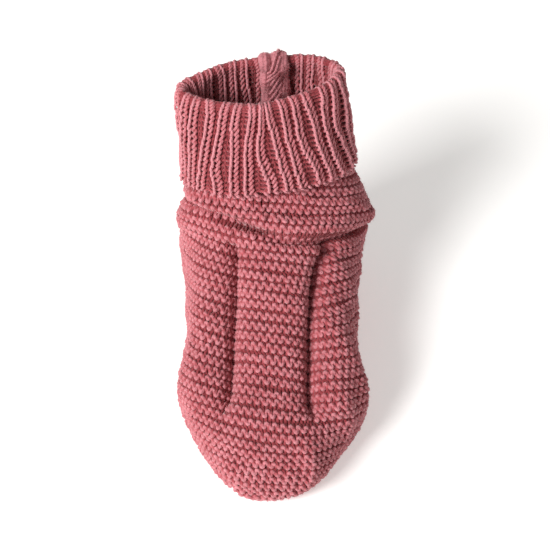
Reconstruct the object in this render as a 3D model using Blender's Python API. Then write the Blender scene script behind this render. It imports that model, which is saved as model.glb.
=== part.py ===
"""Knit slipper of a small child: garter-stitch foot and sole, turned-down rib cuff, sewn back seam.

The toe points to -Y and the sole stands on z = 0. One form, the last with its wool on it, gives every
piece: the sole is its lowest slice, the upper is a wall under its surface, and the cuff and its seam
are layers over its ankle.
"""

import math
from collections import namedtuple

import bmesh
import bpy
import numpy as np

# Driving sizes, in metres
FOOT_LENGTH = 0.129
BALL_WIDTH = 0.074
COLLAR_HEIGHT = 0.110
GARTER_WALL = 0.0035
RIB_WALL = 0.0024
SOLE_THICKNESS = 0.0047
SEAM_GAP = 0.0003

# Near the sole the wall's inner face is drawn down, so that it stands on the sole instead of curling under
WALL_FOOT_HEIGHT = 0.014
WALL_FOOT_DROP = 0.0035

# Where the origin lies, from the toe tip and from the middle of the ball
ORIGIN_ALONG = 0.0665
ORIGIN_ACROSS = 0.0012

# The last, one row for each section from toe tip to collar rim. A section is a rounded loop in the plane
# that holds its top point, its back point and the direction across the foot.
# along: share of FOOT_LENGTH from the toe tip. height: share of COLLAR_HEIGHT. half_width and shift:
# share of half BALL_WIDTH. widest: share of the way from the back point to the top point. The powers say
# how square the loop is on its top and base halves. turn: degrees that the section is turned about Z.
Section = namedtuple(
    "Section",
    "name top_along top_height back_along back_height half_width shift widest top_power base_power turn",
)
LAST = (
    Section("toe tip", 0.000, 0.077, 0.000, 0.077, 0.000, -0.060, 0.50, 2.0, 2.0, 0.0),
    Section("toe front", 0.006, 0.118, 0.006, 0.045, 0.205, -0.055, 0.50, 2.0, 2.2, 0.0),
    Section("toe", 0.031, 0.177, 0.027, 0.018, 0.395, -0.015, 0.50, 2.1, 2.1, 0.0),
    Section("toe root", 0.078, 0.227, 0.074, 0.000, 0.540, 0.000, 0.42, 2.3, 2.7, 0.0),
    Section("vamp", 0.155, 0.264, 0.155, -0.006, 0.718, 0.000, 0.38, 2.5, 3.5, 0.0),
    Section("fore ball", 0.224, 0.294, 0.224, -0.006, 0.850, 0.020, 0.35, 2.6, 4.2, 0.0),
    Section("ball", 0.318, 0.337, 0.318, -0.004, 0.972, 0.018, 0.33, 2.7, 4.4, 0.0),
    Section("fore waist", 0.430, 0.401, 0.438, 0.004, 0.905, 0.000, 0.32, 2.7, 4.4, 0.0),
    Section("waist", 0.519, 0.464, 0.558, 0.006, 0.880, -0.012, 0.30, 2.6, 4.0, 0.0),
    Section("instep", 0.589, 0.518, 0.713, -0.004, 0.907, -0.005, 0.32, 2.5, 3.1, 1.0),
    Section("heel seat", 0.628, 0.550, 0.868, -0.006, 0.960, 0.005, 0.38, 2.4, 2.4, 2.0),
    Section("heel curve", 0.655, 0.573, 0.961, 0.041, 1.005, 0.010, 0.44, 2.3, 2.1, 3.0),
    Section("heel", 0.674, 0.593, 0.992, 0.182, 1.020, 0.025, 0.48, 2.3, 2.1, 4.0),
    Section("heel top", 0.688, 0.612, 0.988, 0.364, 0.945, 0.015, 0.49, 2.3, 2.3, 5.0),
    Section("ankle", 0.703, 0.644, 0.984, 0.520, 0.850, -0.020, 0.50, 2.2, 2.2, 7.0),
    Section("shaft", 0.752, 0.792, 0.996, 0.700, 0.790, -0.070, 0.50, 2.1, 2.1, 8.0),
    Section("rim", 0.811, 0.936, 1.000, 0.922, 0.772, -0.095, 0.46, 1.6, 2.1, 9.0),
)
RIM_ROW = len(LAST) - 1
JOINT_ROW = 14.9
HEM_ROW = 14.2
SHAFT_SPAN_ROWS = 0.2

# Pleats down the instep: troughs between two rows. across is in metres from the middle of the ball, at a
# pleat's first row, half way and at its last row.
Pleat = namedtuple("Pleat", "name first_row last_row first_across middle_across last_across depth half_width")
PLEATS = (
    Pleat("left", 4.1, 10.25, -0.0190, -0.0153, -0.0172, 0.0050, 0.0030),
    Pleat("right", 3.8, 10.4, 0.0170, 0.0156, 0.0285, 0.0050, 0.0030),
)
PLEAT_FADE_ROWS = 1.2
# The wool sinks softly towards each pleat from both sides, and rises in a roll on its outer side
FLANK_DEPTH = 0.0026
FLANK_HALF_WIDTH = 0.0065
ROLL_HEIGHT = 0.0014
ROLL_AWAY = 0.0105
ROLL_SPREAD = 0.0060
# Pleats fade towards the sides of a section, over this much of the cosine of its angle
PLEAT_SIDE_FADE = 0.2

# Folds round the ankle, each at a distance over the plane of its main crease. That plane passes through a
# point at the front, given in shares as in the last, and falls backwards and to +X. A trough has a depth
# above zero, a swell below. The folds fade between two cosines of the angle, behind the sides, and between
# two rows under the cuff's hem.
CREASE_ALONG = 0.640
CREASE_HEIGHT = 0.548
CREASE_PLANE = np.array([0.200, 0.525, 0.827])
# In the middle of the front the crease hangs lower: how far, where across and over what half width
CREASE_DIP = 0.0018
CREASE_DIP_ACROSS = 0.0045
CREASE_DIP_HALF_WIDTH = 0.011
FOLD_BACK_COSINES = (-0.75, -0.15)
FOLD_HEM_ROWS = (HEM_ROW - 0.7, HEM_ROW - 0.1)
# At the sides the folds keep only a share of their depth, between two cosines of the angle
FOLD_LEFT_SHARE = 0.35
FOLD_RIGHT_SHARE = 0.5
FOLD_SIDE_COSINES = (0.1, 0.7)
Fold = namedtuple("Fold", "name over_crease depth half_width")
FOLDS = (
    Fold("ankle crease", 0.0, 0.0038, 0.0023),
    Fold("drooping swell", 0.0052, -0.0022, 0.0036),
)

# Cuff: two layers of rib with a slit between them, the drops measured along each layer from the rim
CUFF_SLIT = 0.0006
CUFF_OUTSIDE_DROP = 0.035
CUFF_INSIDE_DROP = 0.0215
FOLD_RADIUS = RIB_WALL + CUFF_SLIT / 2
FOLD_QUARTER = FOLD_RADIUS * math.pi / 2

# Back seam: a roll inside the centre back, from below the rim to just over it
BACK_SEAM_ANGLE = math.pi - 0.15
BACK_SEAM_HALF_ANGLE = 0.22
BACK_SEAM_THICKNESS = 0.0026
BACK_SEAM_EDGE = 0.0006
BACK_SEAM_INSIDE = 0.0205
BACK_SEAM_OUTSIDE = 0.0022
BACK_SEAM_TAPER = 3.5

# Facets
GIRTH_POINTS = 58
PLEAT_ZONE = (10.0, 42.0)
PLEAT_ZONE_WEIGHT = 2.6
TOE_ROWS = (0.0, 0.3, 0.65, 1.0, 1.5, 2.0, 2.5, 3.0)
FOOT_ROW_STEP = 0.5
ANKLE_ROW = 12.0
ANKLE_ROW_STEP = 0.25
CUFF_INSIDE_STEPS = 3
CUFF_FOLD_STEPS = 6
CUFF_OUTSIDE_STEPS = 4
BACK_SEAM_ACROSS_POINTS = 9
BACK_SEAM_INSIDE_STEPS = 7
BACK_SEAM_FOLD_POINTS = 7
BISECT_SNAP = 0.0003

WOOL_ROUGHNESS = 0.9
UPPER_ROSE = (0.48, 0.16, 0.17, 1.0)
SOLE_ROSE = (0.44, 0.14, 0.15, 1.0)
CUFF_ROSE = (0.50, 0.17, 0.18, 1.0)
SEAM_ROSE = (0.60, 0.22, 0.23, 1.0)


def between_rows(column, rows):
    """The value of a table column at fractional rows, on a smooth curve through the table's own values."""
    values = np.array([getattr(section, column) for section in LAST])
    low = np.clip(np.floor(rows).astype(int), 0, RIM_ROW - 1)
    step = rows - low
    before = values[np.maximum(low - 1, 0)]
    start = values[low]
    end = values[low + 1]
    after = values[np.minimum(low + 2, RIM_ROW)]
    linear = end - before
    square = 2 * before - 5 * start + 4 * end - after
    cube = 3 * start - before - 3 * end + after
    return start + 0.5 * step * (linear + step * (square + step * cube))


def smooth_step(start, end, value):
    """0 before start, 1 after end, and a smooth ramp between them."""
    share = np.clip((value - start) / (end - start), 0.0, 1.0)
    return share * share * (3 - 2 * share)


def bell(distance, half_width):
    """1 at no distance, falling smoothly to nothing."""
    return np.exp(-((distance / half_width) ** 2))


def plain_last(rows, angles):
    """Points of the last before its folds. Angle 0 is a section's top point, a quarter turn is at +X."""
    sine = np.sin(angles)
    cosine = np.cos(angles)
    on_top = cosine >= 0
    power = np.where(on_top, between_rows("top_power", rows), between_rows("base_power", rows))
    across = np.sign(sine) * np.abs(sine) ** (2 / power)
    rise = np.abs(cosine) ** (2 / power)
    widest = between_rows("widest", rows)
    share = np.where(on_top, widest + (1 - widest) * rise, widest * (1 - rise))
    back_along = between_rows("back_along", rows)
    back_height = between_rows("back_height", rows)
    along = back_along + (between_rows("top_along", rows) - back_along) * share
    height = back_height + (between_rows("top_height", rows) - back_height) * share
    half_ball = BALL_WIDTH / 2
    reach = np.maximum(between_rows("half_width", rows), 0.0) * half_ball * across
    turn = np.radians(between_rows("turn", rows))
    x = between_rows("shift", rows) * half_ball + reach * np.cos(turn) - ORIGIN_ACROSS
    y = along * FOOT_LENGTH + reach * np.sin(turn) - ORIGIN_ALONG
    return np.stack(np.broadcast_arrays(x, y, height * COLLAR_HEIGHT), axis=-1)


def last_normals(rows, angles):
    """Outward unit normals of the plain last, from points a little to each side."""
    row_step = 0.02
    angle_step = 0.01
    no_length = 1e-14
    along = plain_last(rows + row_step, angles) - plain_last(np.maximum(rows - row_step, 0.0), angles)
    around = plain_last(rows, angles + angle_step) - plain_last(rows, angles - angle_step)
    normals = np.cross(around, along)
    lengths = np.linalg.norm(normals, axis=-1, keepdims=True)
    forward = np.array([0.0, -1.0, 0.0])
    return np.where(lengths > no_length, normals / np.maximum(lengths, no_length), forward)


def over_crease(points):
    """Distance of points over the plane of the ankle's main crease."""
    front = (0.0, CREASE_ALONG * FOOT_LENGTH - ORIGIN_ALONG, CREASE_HEIGHT * COLLAR_HEIGHT)
    dip = CREASE_DIP * bell(points[..., 0] - CREASE_DIP_ACROSS, CREASE_DIP_HALF_WIDTH)
    return (points - np.array(front)) @ CREASE_PLANE + dip


def fold_height(rows, angles):
    """How far the wool stands off the plain last: below zero in pleats and creases, above on rolls."""
    points = plain_last(rows, angles)
    cosine = np.cos(angles)
    height = np.zeros(np.broadcast(rows, angles).shape)
    for pleat in PLEATS:
        share = np.clip((rows - pleat.first_row) / (pleat.last_row - pleat.first_row), 0.0, 1.0)
        trough = (
            pleat.first_across * (1 - share) * (1 - 2 * share)
            + pleat.middle_across * 4 * share * (1 - share)
            + pleat.last_across * share * (2 * share - 1)
        )
        outwards = (points[..., 0] + ORIGIN_ACROSS - trough) * np.sign(pleat.first_across)
        begins = smooth_step(pleat.first_row, pleat.first_row + PLEAT_FADE_ROWS, rows)
        ends = 1 - smooth_step(pleat.last_row - PLEAT_FADE_ROWS, pleat.last_row, rows)
        on_top = smooth_step(0.0, PLEAT_SIDE_FADE, cosine)
        roll = ROLL_HEIGHT * bell(outwards - ROLL_AWAY, ROLL_SPREAD)
        flank = FLANK_DEPTH * bell(outwards, FLANK_HALF_WIDTH)
        height += on_top * begins * ends * (roll - flank - pleat.depth * bell(outwards, pleat.half_width))
    side_share = np.where(np.sin(angles) < 0, FOLD_LEFT_SHARE, FOLD_RIGHT_SHARE)
    shown = side_share + (1 - side_share) * smooth_step(*FOLD_SIDE_COSINES, cosine)
    shown = shown * smooth_step(*FOLD_BACK_COSINES, cosine) * (1 - smooth_step(*FOLD_HEM_ROWS, rows))
    for fold in FOLDS:
        height -= fold.depth * shown * bell(over_crease(points) - fold.over_crease, fold.half_width)
    return height


def wool_form(rows, angles, under):
    """Points of the slipper's wall at a depth under its outer face, folds included."""
    off_last = fold_height(rows, angles) - under
    return plain_last(rows, angles) + last_normals(rows, angles) * off_last[..., None]


def cuff_form(path, angles, under):
    """Points of the turned-down rib: path runs along its face from the fold's crest, below zero inside."""
    turn = np.clip(path / FOLD_RADIUS, -math.pi / 2, math.pi / 2)
    radius = FOLD_RADIUS - under
    down = np.maximum(np.abs(path) - FOLD_QUARTER, 0.0)
    outside_rows = (HEM_ROW - RIM_ROW) / CUFF_OUTSIDE_DROP
    inside_rows = (JOINT_ROW - RIM_ROW) / CUFF_INSIDE_DROP
    rows = RIM_ROW + down * np.where(path > 0, outside_rows, inside_rows)
    off_wall = CUFF_SLIT / 2 + radius * np.sin(turn)
    wall = wool_form(rows, angles, -off_wall)
    rim = plain_last(np.full_like(rows, RIM_ROW), angles)
    shaft = rim - plain_last(np.full_like(rows, RIM_ROW - SHAFT_SPAN_ROWS), angles)
    shaft /= np.linalg.norm(shaft, axis=-1, keepdims=True)
    return wall + shaft * (radius * np.cos(turn))[..., None]


def girth_angles():
    """Angles that space the points evenly round the ball, closer together where the pleats run."""
    fine = np.linspace(0.0, 2 * math.pi, 2001)
    ball_row = [section.name for section in LAST].index("ball")
    loop = plain_last(np.full_like(fine, ball_row), fine)
    steps = np.linalg.norm(np.diff(loop, axis=0), axis=1)
    middle = (fine[1:] + fine[:-1]) / 2
    from_top = np.degrees(np.minimum(middle, 2 * math.pi - middle))
    in_zone = (from_top > PLEAT_ZONE[0]) & (from_top < PLEAT_ZONE[1])
    steps *= np.where(in_zone, PLEAT_ZONE_WEIGHT, 1.0)
    run = np.concatenate([[0.0], np.cumsum(steps)])
    return np.interp(np.arange(GIRTH_POINTS) / GIRTH_POINTS * run[-1], run, fine)


def row_list(last_row):
    """Rows from the toe tip to a row, closer together at the toe and round the ankle's folds."""
    foot = np.arange(TOE_ROWS[-1], ANKLE_ROW, FOOT_ROW_STEP)
    count = round((last_row - ANKLE_ROW) / ANKLE_ROW_STEP)
    return np.concatenate([TOE_ROWS[:-1], foot, np.linspace(ANKLE_ROW, last_row, count + 1)])


def add_grid(mesh, points, closed=True):
    """Adds a grid of points with quads between them. Returns its vertices, row by row."""
    grid = [[mesh.verts.new(point) for point in row] for row in points]
    for low, high in zip(grid, grid[1:]):
        add_strip(mesh, low, high, closed)
    return grid


def add_strip(mesh, low, high, closed=True):
    """Adds a strip of quads between two rows of vertices."""
    for this in range(len(low) if closed else len(low) - 1):
        following = (this + 1) % len(low)
        mesh.faces.new((low[this], low[following], high[following], high[this]))


def add_toe_wall(mesh, rows, angles, under):
    """Adds a face of the foot from its toe tip up to its last row. Returns its top row of vertices."""
    points = wool_form(rows[:, None], angles[None, :], under)
    height = points[..., 2]
    if under == 0.0:
        points[..., 2] = np.maximum(height, 0.0)
    else:
        points[..., 2] = height - WALL_FOOT_DROP * (1 - smooth_step(0.0, WALL_FOOT_HEIGHT, height))
    tip = mesh.verts.new(points[0].mean(axis=0))
    grid = add_grid(mesh, points[1:])
    for this in range(len(angles)):
        mesh.faces.new((tip, grid[0][(this + 1) % len(angles)], grid[0][this]))
    return grid[-1]


def cut_flat(mesh, height, keep_above):
    """Cuts the mesh at a height, drops one side and closes the cut with a flat face."""
    everything = mesh.verts[:] + mesh.edges[:] + mesh.faces[:]
    bmesh.ops.bisect_plane(
        mesh,
        geom=everything,
        dist=BISECT_SNAP,
        plane_co=(0.0, 0.0, height),
        plane_no=(0.0, 0.0, 1.0),
        clear_inner=keep_above,
        clear_outer=not keep_above,
    )
    rim = [edge for edge in mesh.edges if edge.is_boundary]
    for edge in rim:
        for corner in edge.verts:
            corner.co.z = height
    bmesh.ops.triangle_fill(mesh, use_beauty=True, edges=rim)


def wool_material(name, colour):
    """Matt wool of one colour."""
    material = bpy.data.materials.new(name)
    material.use_nodes = True
    shader = material.node_tree.nodes["Principled BSDF"]
    shader.inputs["Base Color"].default_value = colour
    shader.inputs["Roughness"].default_value = WOOL_ROUGHNESS
    shader.inputs["Metallic"].default_value = 0.0
    return material


def finish_piece(name, mesh, material_name, colour):
    """Makes the mesh an object of its own, with outward faces, smooth shading and its material."""
    bmesh.ops.recalc_face_normals(mesh, faces=mesh.faces)
    data = bpy.data.meshes.new(name)
    mesh.to_mesh(data)
    mesh.free()
    data.shade_smooth()
    data.materials.append(wool_material(material_name, colour))
    piece = bpy.data.objects.new(name, data)
    bpy.context.scene.collection.objects.link(piece)
    return piece


def build_upper(angles):
    """Hollow garter-stitch foot and ankle band, open at the ankle and over the sole."""
    mesh = bmesh.new()
    rows = row_list(JOINT_ROW)
    outside = add_toe_wall(mesh, rows, angles, 0.0)
    inside = add_toe_wall(mesh, rows, angles, GARTER_WALL)
    add_strip(mesh, outside, inside)
    cut_flat(mesh, SOLE_THICKNESS + SEAM_GAP, keep_above=True)
    return finish_piece("upper", mesh, "rose garter wool", UPPER_ROSE)


def build_sole(angles):
    """Garter-stitch sole: the lowest slice of the form, flat under ball and heel."""
    mesh = bmesh.new()
    outside = add_toe_wall(mesh, row_list(JOINT_ROW), angles, 0.0)
    mesh.faces.new(outside)
    cut_flat(mesh, SOLE_THICKNESS, keep_above=False)
    return finish_piece("sole", mesh, "rose sole wool", SOLE_ROSE)


def build_cuff(angles):
    """Rib collar, knitted on to the ankle band and turned down over it."""
    inside_end = -FOLD_QUARTER - CUFF_INSIDE_DROP + SEAM_GAP
    hem_end = FOLD_QUARTER + CUFF_OUTSIDE_DROP
    path = np.concatenate([
        np.linspace(inside_end, -FOLD_QUARTER, CUFF_INSIDE_STEPS, endpoint=False),
        np.linspace(-FOLD_QUARTER, FOLD_QUARTER, CUFF_FOLD_STEPS, endpoint=False),
        np.linspace(FOLD_QUARTER, hem_end, CUFF_OUTSIDE_STEPS + 1),
    ])
    face = cuff_form(path[:, None], angles[None, :], 0.0)
    lining = cuff_form(path[::-1, None], angles[None, :], RIB_WALL)
    mesh = bmesh.new()
    grid = add_grid(mesh, np.concatenate([face, lining]))
    add_strip(mesh, grid[-1], grid[0])
    return finish_piece("cuff", mesh, "rose rib wool", CUFF_ROSE)


def build_back_seam():
    """Sewn selvedges of the rib: a roll down the inside of the centre back, over the rim."""
    across = np.linspace(-1.0, 1.0, BACK_SEAM_ACROSS_POINTS)
    lower_end = -FOLD_QUARTER - BACK_SEAM_INSIDE
    path = np.concatenate([
        np.linspace(lower_end, -FOLD_QUARTER, BACK_SEAM_INSIDE_STEPS, endpoint=False),
        np.linspace(-FOLD_QUARTER, BACK_SEAM_OUTSIDE, BACK_SEAM_FOLD_POINTS),
    ])
    angles = BACK_SEAM_ANGLE + across * BACK_SEAM_HALF_ANGLE
    run = np.linspace(0.0, 1.0, len(path))
    taper = np.sqrt(np.clip(np.minimum(run, 1 - run) * BACK_SEAM_TAPER, 0.0, 1.0))
    dome = np.sqrt(1 - across**2)[None, :] * taper[:, None]
    top = BACK_SEAM_EDGE + (BACK_SEAM_THICKNESS - BACK_SEAM_EDGE) * dome
    near = cuff_form(path[:, None], angles[None, :], np.full_like(top, -SEAM_GAP))
    far = cuff_form(path[:, None], angles[None, :], -SEAM_GAP - top)
    mesh = bmesh.new()
    near_grid = add_grid(mesh, near, closed=False)
    far_grid = add_grid(mesh, far, closed=False)
    for near_side, far_side in (
        (near_grid[0], far_grid[0]),
        (near_grid[-1], far_grid[-1]),
        ([row[0] for row in near_grid], [row[0] for row in far_grid]),
        ([row[-1] for row in near_grid], [row[-1] for row in far_grid]),
    ):
        add_strip(mesh, near_side, far_side, closed=False)
    return finish_piece("back_seam", mesh, "rose seam wool", SEAM_ROSE)


def main():
    for old in list(bpy.data.objects):
        bpy.data.objects.remove(old, do_unlink=True)
    angles = girth_angles()
    build_upper(angles)
    build_sole(angles)
    build_cuff(angles)
    build_back_seam()


main()
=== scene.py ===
"""Looks of the knit slipper: every stitch of its garter foot, rib cuff, sole and seams is laid as yarn.

The last, its folds and the cuff's turn are repeated from the part's source, with the creases drawn sharper.
Courses of stitches are worked out on that form, and Geometry Nodes lay the yarn along them.
"""

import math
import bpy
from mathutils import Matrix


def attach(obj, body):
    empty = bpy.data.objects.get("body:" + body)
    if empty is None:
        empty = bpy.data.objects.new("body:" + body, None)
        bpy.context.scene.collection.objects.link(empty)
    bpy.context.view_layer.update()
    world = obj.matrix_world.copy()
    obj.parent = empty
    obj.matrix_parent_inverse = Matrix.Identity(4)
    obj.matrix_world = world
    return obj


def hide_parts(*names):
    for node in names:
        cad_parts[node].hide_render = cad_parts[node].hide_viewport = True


bl_info = {
    "name": "Knit Slipper",
    "version": (1, 0, 0),
    "blender": (4, 5, 0),
    "location": "3D View > Sidebar > Slipper",
    "description": "Knits a small wool slipper, stitch by stitch, over its packed form",
    "category": "Add Mesh",
}

from collections import namedtuple

import bmesh
import bpy
import numpy as np
from mathutils import Vector

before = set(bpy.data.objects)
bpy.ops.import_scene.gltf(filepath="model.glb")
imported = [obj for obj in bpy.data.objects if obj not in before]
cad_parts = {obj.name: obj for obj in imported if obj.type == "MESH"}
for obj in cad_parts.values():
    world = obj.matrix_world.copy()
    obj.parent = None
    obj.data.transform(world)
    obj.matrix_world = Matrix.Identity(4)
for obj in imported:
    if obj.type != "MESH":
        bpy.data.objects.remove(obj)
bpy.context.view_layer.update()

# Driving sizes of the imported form, in metres
FOOT_LENGTH = 0.129
BALL_WIDTH = 0.074
COLLAR_HEIGHT = 0.110
GARTER_WALL = 0.0035
RIB_WALL = 0.0024
SOLE_THICKNESS = 0.0047
SEAM_GAP = 0.0003
ORIGIN_ALONG = 0.0665
ORIGIN_ACROSS = 0.0012
# Upper and sole meet at this height
FEATHER_HEIGHT = SOLE_THICKNESS + SEAM_GAP / 2

# The last, one row for each section from toe tip to collar rim. A section is a rounded loop in the plane
# that holds its top point, its back point and the direction across the foot.
# along: share of FOOT_LENGTH from the toe tip. height: share of COLLAR_HEIGHT. half_width and shift:
# share of half BALL_WIDTH. widest: share of the way from the back point to the top point. The powers say
# how square the loop is on its top and base halves. turn: degrees that the section is turned about Z.
Section = namedtuple(
    "Section",
    "name top_along top_height back_along back_height half_width shift widest top_power base_power turn",
)
LAST = (
    Section("toe tip", 0.000, 0.077, 0.000, 0.077, 0.000, -0.060, 0.50, 2.0, 2.0, 0.0),
    Section("toe front", 0.006, 0.118, 0.006, 0.045, 0.205, -0.055, 0.50, 2.0, 2.2, 0.0),
    Section("toe", 0.031, 0.177, 0.027, 0.018, 0.395, -0.015, 0.50, 2.1, 2.1, 0.0),
    Section("toe root", 0.078, 0.227, 0.074, 0.000, 0.540, 0.000, 0.42, 2.3, 2.7, 0.0),
    Section("vamp", 0.155, 0.264, 0.155, -0.006, 0.718, 0.000, 0.38, 2.5, 3.5, 0.0),
    Section("fore ball", 0.224, 0.294, 0.224, -0.006, 0.850, 0.020, 0.35, 2.6, 4.2, 0.0),
    Section("ball", 0.318, 0.337, 0.318, -0.004, 0.972, 0.018, 0.33, 2.7, 4.4, 0.0),
    Section("fore waist", 0.430, 0.401, 0.438, 0.004, 0.905, 0.000, 0.32, 2.7, 4.4, 0.0),
    Section("waist", 0.519, 0.464, 0.558, 0.006, 0.880, -0.012, 0.30, 2.6, 4.0, 0.0),
    Section("instep", 0.589, 0.518, 0.713, -0.004, 0.907, -0.005, 0.32, 2.5, 3.1, 1.0),
    Section("heel seat", 0.628, 0.550, 0.868, -0.006, 0.960, 0.005, 0.38, 2.4, 2.4, 2.0),
    Section("heel curve", 0.655, 0.573, 0.961, 0.041, 1.005, 0.010, 0.44, 2.3, 2.1, 3.0),
    Section("heel", 0.674, 0.593, 0.992, 0.182, 1.020, 0.025, 0.48, 2.3, 2.1, 4.0),
    Section("heel top", 0.688, 0.612, 0.988, 0.364, 0.945, 0.015, 0.49, 2.3, 2.3, 5.0),
    Section("ankle", 0.703, 0.644, 0.984, 0.520, 0.850, -0.020, 0.50, 2.2, 2.2, 7.0),
    Section("shaft", 0.752, 0.792, 0.996, 0.700, 0.790, -0.070, 0.50, 2.1, 2.1, 8.0),
    Section("rim", 0.811, 0.936, 1.000, 0.922, 0.772, -0.095, 0.46, 1.6, 2.1, 9.0),
)
RIM_ROW = len(LAST) - 1
# The rib is knitted on at the joint row and hangs down to the hem row. The way up the shaft is taken over
# a span of rows.
JOINT_ROW = 14.9
HEM_ROW = 14.2
SHAFT_SPAN_ROWS = 0.2
# Steps of row and of angle over which slopes of the form are measured, and what counts there as no length,
# no area and no spread
ROW_STEP = 0.02
ANGLE_STEP = 0.01
NO_LENGTH = 1e-9
NO_AREA = 1e-14
NO_SPREAD = 1e-12

# Pleats down the instep: troughs between two rows. across is in metres from the middle of the ball, at a
# pleat's first row, half way and at its last row.
Pleat = namedtuple(
    "Pleat",
    "name first_row last_row first_across middle_across last_across depth half_width",
)
PLEATS = (
    Pleat("left", 4.1, 10.25, -0.0190, -0.0153, -0.0172, 0.0056, 0.0023),
    Pleat("right", 3.8, 10.4, 0.0170, 0.0156, 0.0285, 0.0056, 0.0023),
)
PLEAT_FADE_ROWS = 1.2
# The wool sinks softly towards each pleat from both sides, and rises in a roll on its outer side
FLANK_DEPTH = 0.0030
FLANK_HALF_WIDTH = 0.0065
ROLL_HEIGHT = 0.0014
ROLL_AWAY = 0.0105
ROLL_SPREAD = 0.0060
# The wall under the stitches takes a wider and deeper pleat, so that it stays under them
WALL_PLEAT_WIDENING = 0.0016
WALL_PLEAT_DEEPENING = 0.0012
# Pleats fade towards the sides of a section, over this much of the cosine of its angle
PLEAT_SIDE_FADE = 0.2

# Folds round the ankle, each at a distance over the plane of its main crease. That plane passes through a
# point at the front, given in shares as in the last, and falls backwards and to +X. A trough has a depth
# above zero, a swell below. The folds fade between two cosines of the angle, behind the sides, and under
# the cuff's hem.
CREASE_ALONG = 0.640
CREASE_HEIGHT = 0.548
CREASE_PLANE = np.array([0.200, 0.525, 0.827])
# In the middle of the front the crease hangs lower: how far, where across and over what half width
CREASE_DIP = 0.0018
CREASE_DIP_ACROSS = 0.0045
CREASE_DIP_HALF_WIDTH = 0.011
FOLD_BACK_COSINES = (-0.75, -0.15)
FOLD_FADE_ROWS = (HEM_ROW - 0.7, HEM_ROW - 0.1)
# At the sides the folds keep only a share of their depth, between two cosines of the angle
FOLD_LEFT_SHARE = 0.35
FOLD_RIGHT_SHARE = 0.5
FOLD_SIDE_COSINES = (0.1, 0.7)
Fold = namedtuple("Fold", "name over_crease depth half_width")
FOLDS = (
    Fold("ankle crease", 0.0, 0.0050, 0.0018),
    Fold("drooping swell", 0.0052, -0.0026, 0.0036),
)
# A small upright pinch in the swell: where across, how far over the crease, its depth and half widths
PINCH_ACROSS = -0.0022
PINCH_OVER_CREASE = 0.0062
PINCH_DEPTH = 0.0016
PINCH_HALF_WIDTHS = (0.0014, 0.0036)
# Slack wool is a little lumpy: height of the lumps, waves for each row of the last and waves round it. They
# begin between two heights, so that the sole stays flat.
LUMPS = ((0.00035, 0.31, 3), (0.00030, 0.53, 5), (0.00020, 0.83, 7))
LUMP_HEIGHTS = (FEATHER_HEIGHT, 3 * FEATHER_HEIGHT)

# Cuff: two layers of rib with a slit between them, the drops measured along each layer from the rim. A path
# runs along its face, from the inside below zero, over the fold's crest at zero, to the hem.
CUFF_SLIT = 0.0006
CUFF_OUTSIDE_DROP = 0.035
CUFF_INSIDE_DROP = 0.0215
FOLD_RADIUS = RIB_WALL + CUFF_SLIT / 2
FOLD_QUARTER = FOLD_RADIUS * math.pi / 2
CUFF_INSIDE_END = -FOLD_QUARTER - CUFF_INSIDE_DROP
CUFF_HEM = FOLD_QUARTER + CUFF_OUTSIDE_DROP

# Back seam: a roll inside the centre back, from below the rim to just over it
BACK_SEAM_ANGLE = math.pi - 0.15
BACK_SEAM_HALF_ANGLE = 0.205
BACK_SEAM_THICKNESS = 0.0026
BACK_SEAM_START = -FOLD_QUARTER - 0.0205
BACK_SEAM_OUTSIDE = 0.0032

# Photograph: its side in pixels, the size of one pixel at the slipper, and where the camera stands
PHOTO_SIDE = 550
PIXEL_SIZE = 0.000371
CAMERA_DISTANCE = 0.6
CAMERA_ELEVATION = 52.0
CAMERA_AIM = (0.0, 0.0058, 0.0476)
SENSOR_SIDE = 36.0
# One large soft light from the left and above, in metres and watts, and the pale room: its strength and its
# linear colour
KEY_LIGHT_PLACE = (-1.9, -1.5, 2.0)
KEY_LIGHT_SIZE = 1.2
KEY_LIGHT_POWER = 114.0
ROOM_LIGHT = 0.27
ROOM_COLOUR = (1.0, 0.985, 0.97, 1.0)
# The floor reaches this far each way, and glows a little, as a lit studio sweep does
FLOOR_REACH = 3.0
FLOOR_GLOW = 0.45

PIECE_TRIANGLES = 190000
# Seeds of all that chance makes uneven: stitches first, then fuzz
FOOT_SEED = 11
SOLE_SEED = 12
CUFF_SEED = 13
SEAM_SEED = 14
FOOT_FUZZ_SEED = 21
CUFF_FUZZ_SEED = 31
SEAM_FUZZ_SEED = 41


def to_linear(colour):
    """Linear red, green and blue of an sRGB hex colour."""
    shares = [int(colour[start:start + 2], 16) / 255 for start in (1, 3, 5)]
    return tuple(s / 12.92 if s <= 0.04045 else ((s + 0.055) / 1.055) ** 2.4 for s in shares)


def metres(name, description, default):
    """A length that a user may change."""
    return bpy.props.FloatProperty(
        name=name, description=description, default=default, min=0.0005, unit="LENGTH", precision=5,
    )


def spread_of(name, description, default):
    """A number of fibres on a square metre that a user may change."""
    return bpy.props.FloatProperty(name=name, description=description, default=default, min=0.0)


def shade(name, description, colour):
    """A colour that a user may change, with an sRGB hex colour as its default."""
    return bpy.props.FloatVectorProperty(
        name=name, description=description, default=to_linear(colour), subtype="COLOR", min=0.0, max=1.0,
    )


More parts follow.
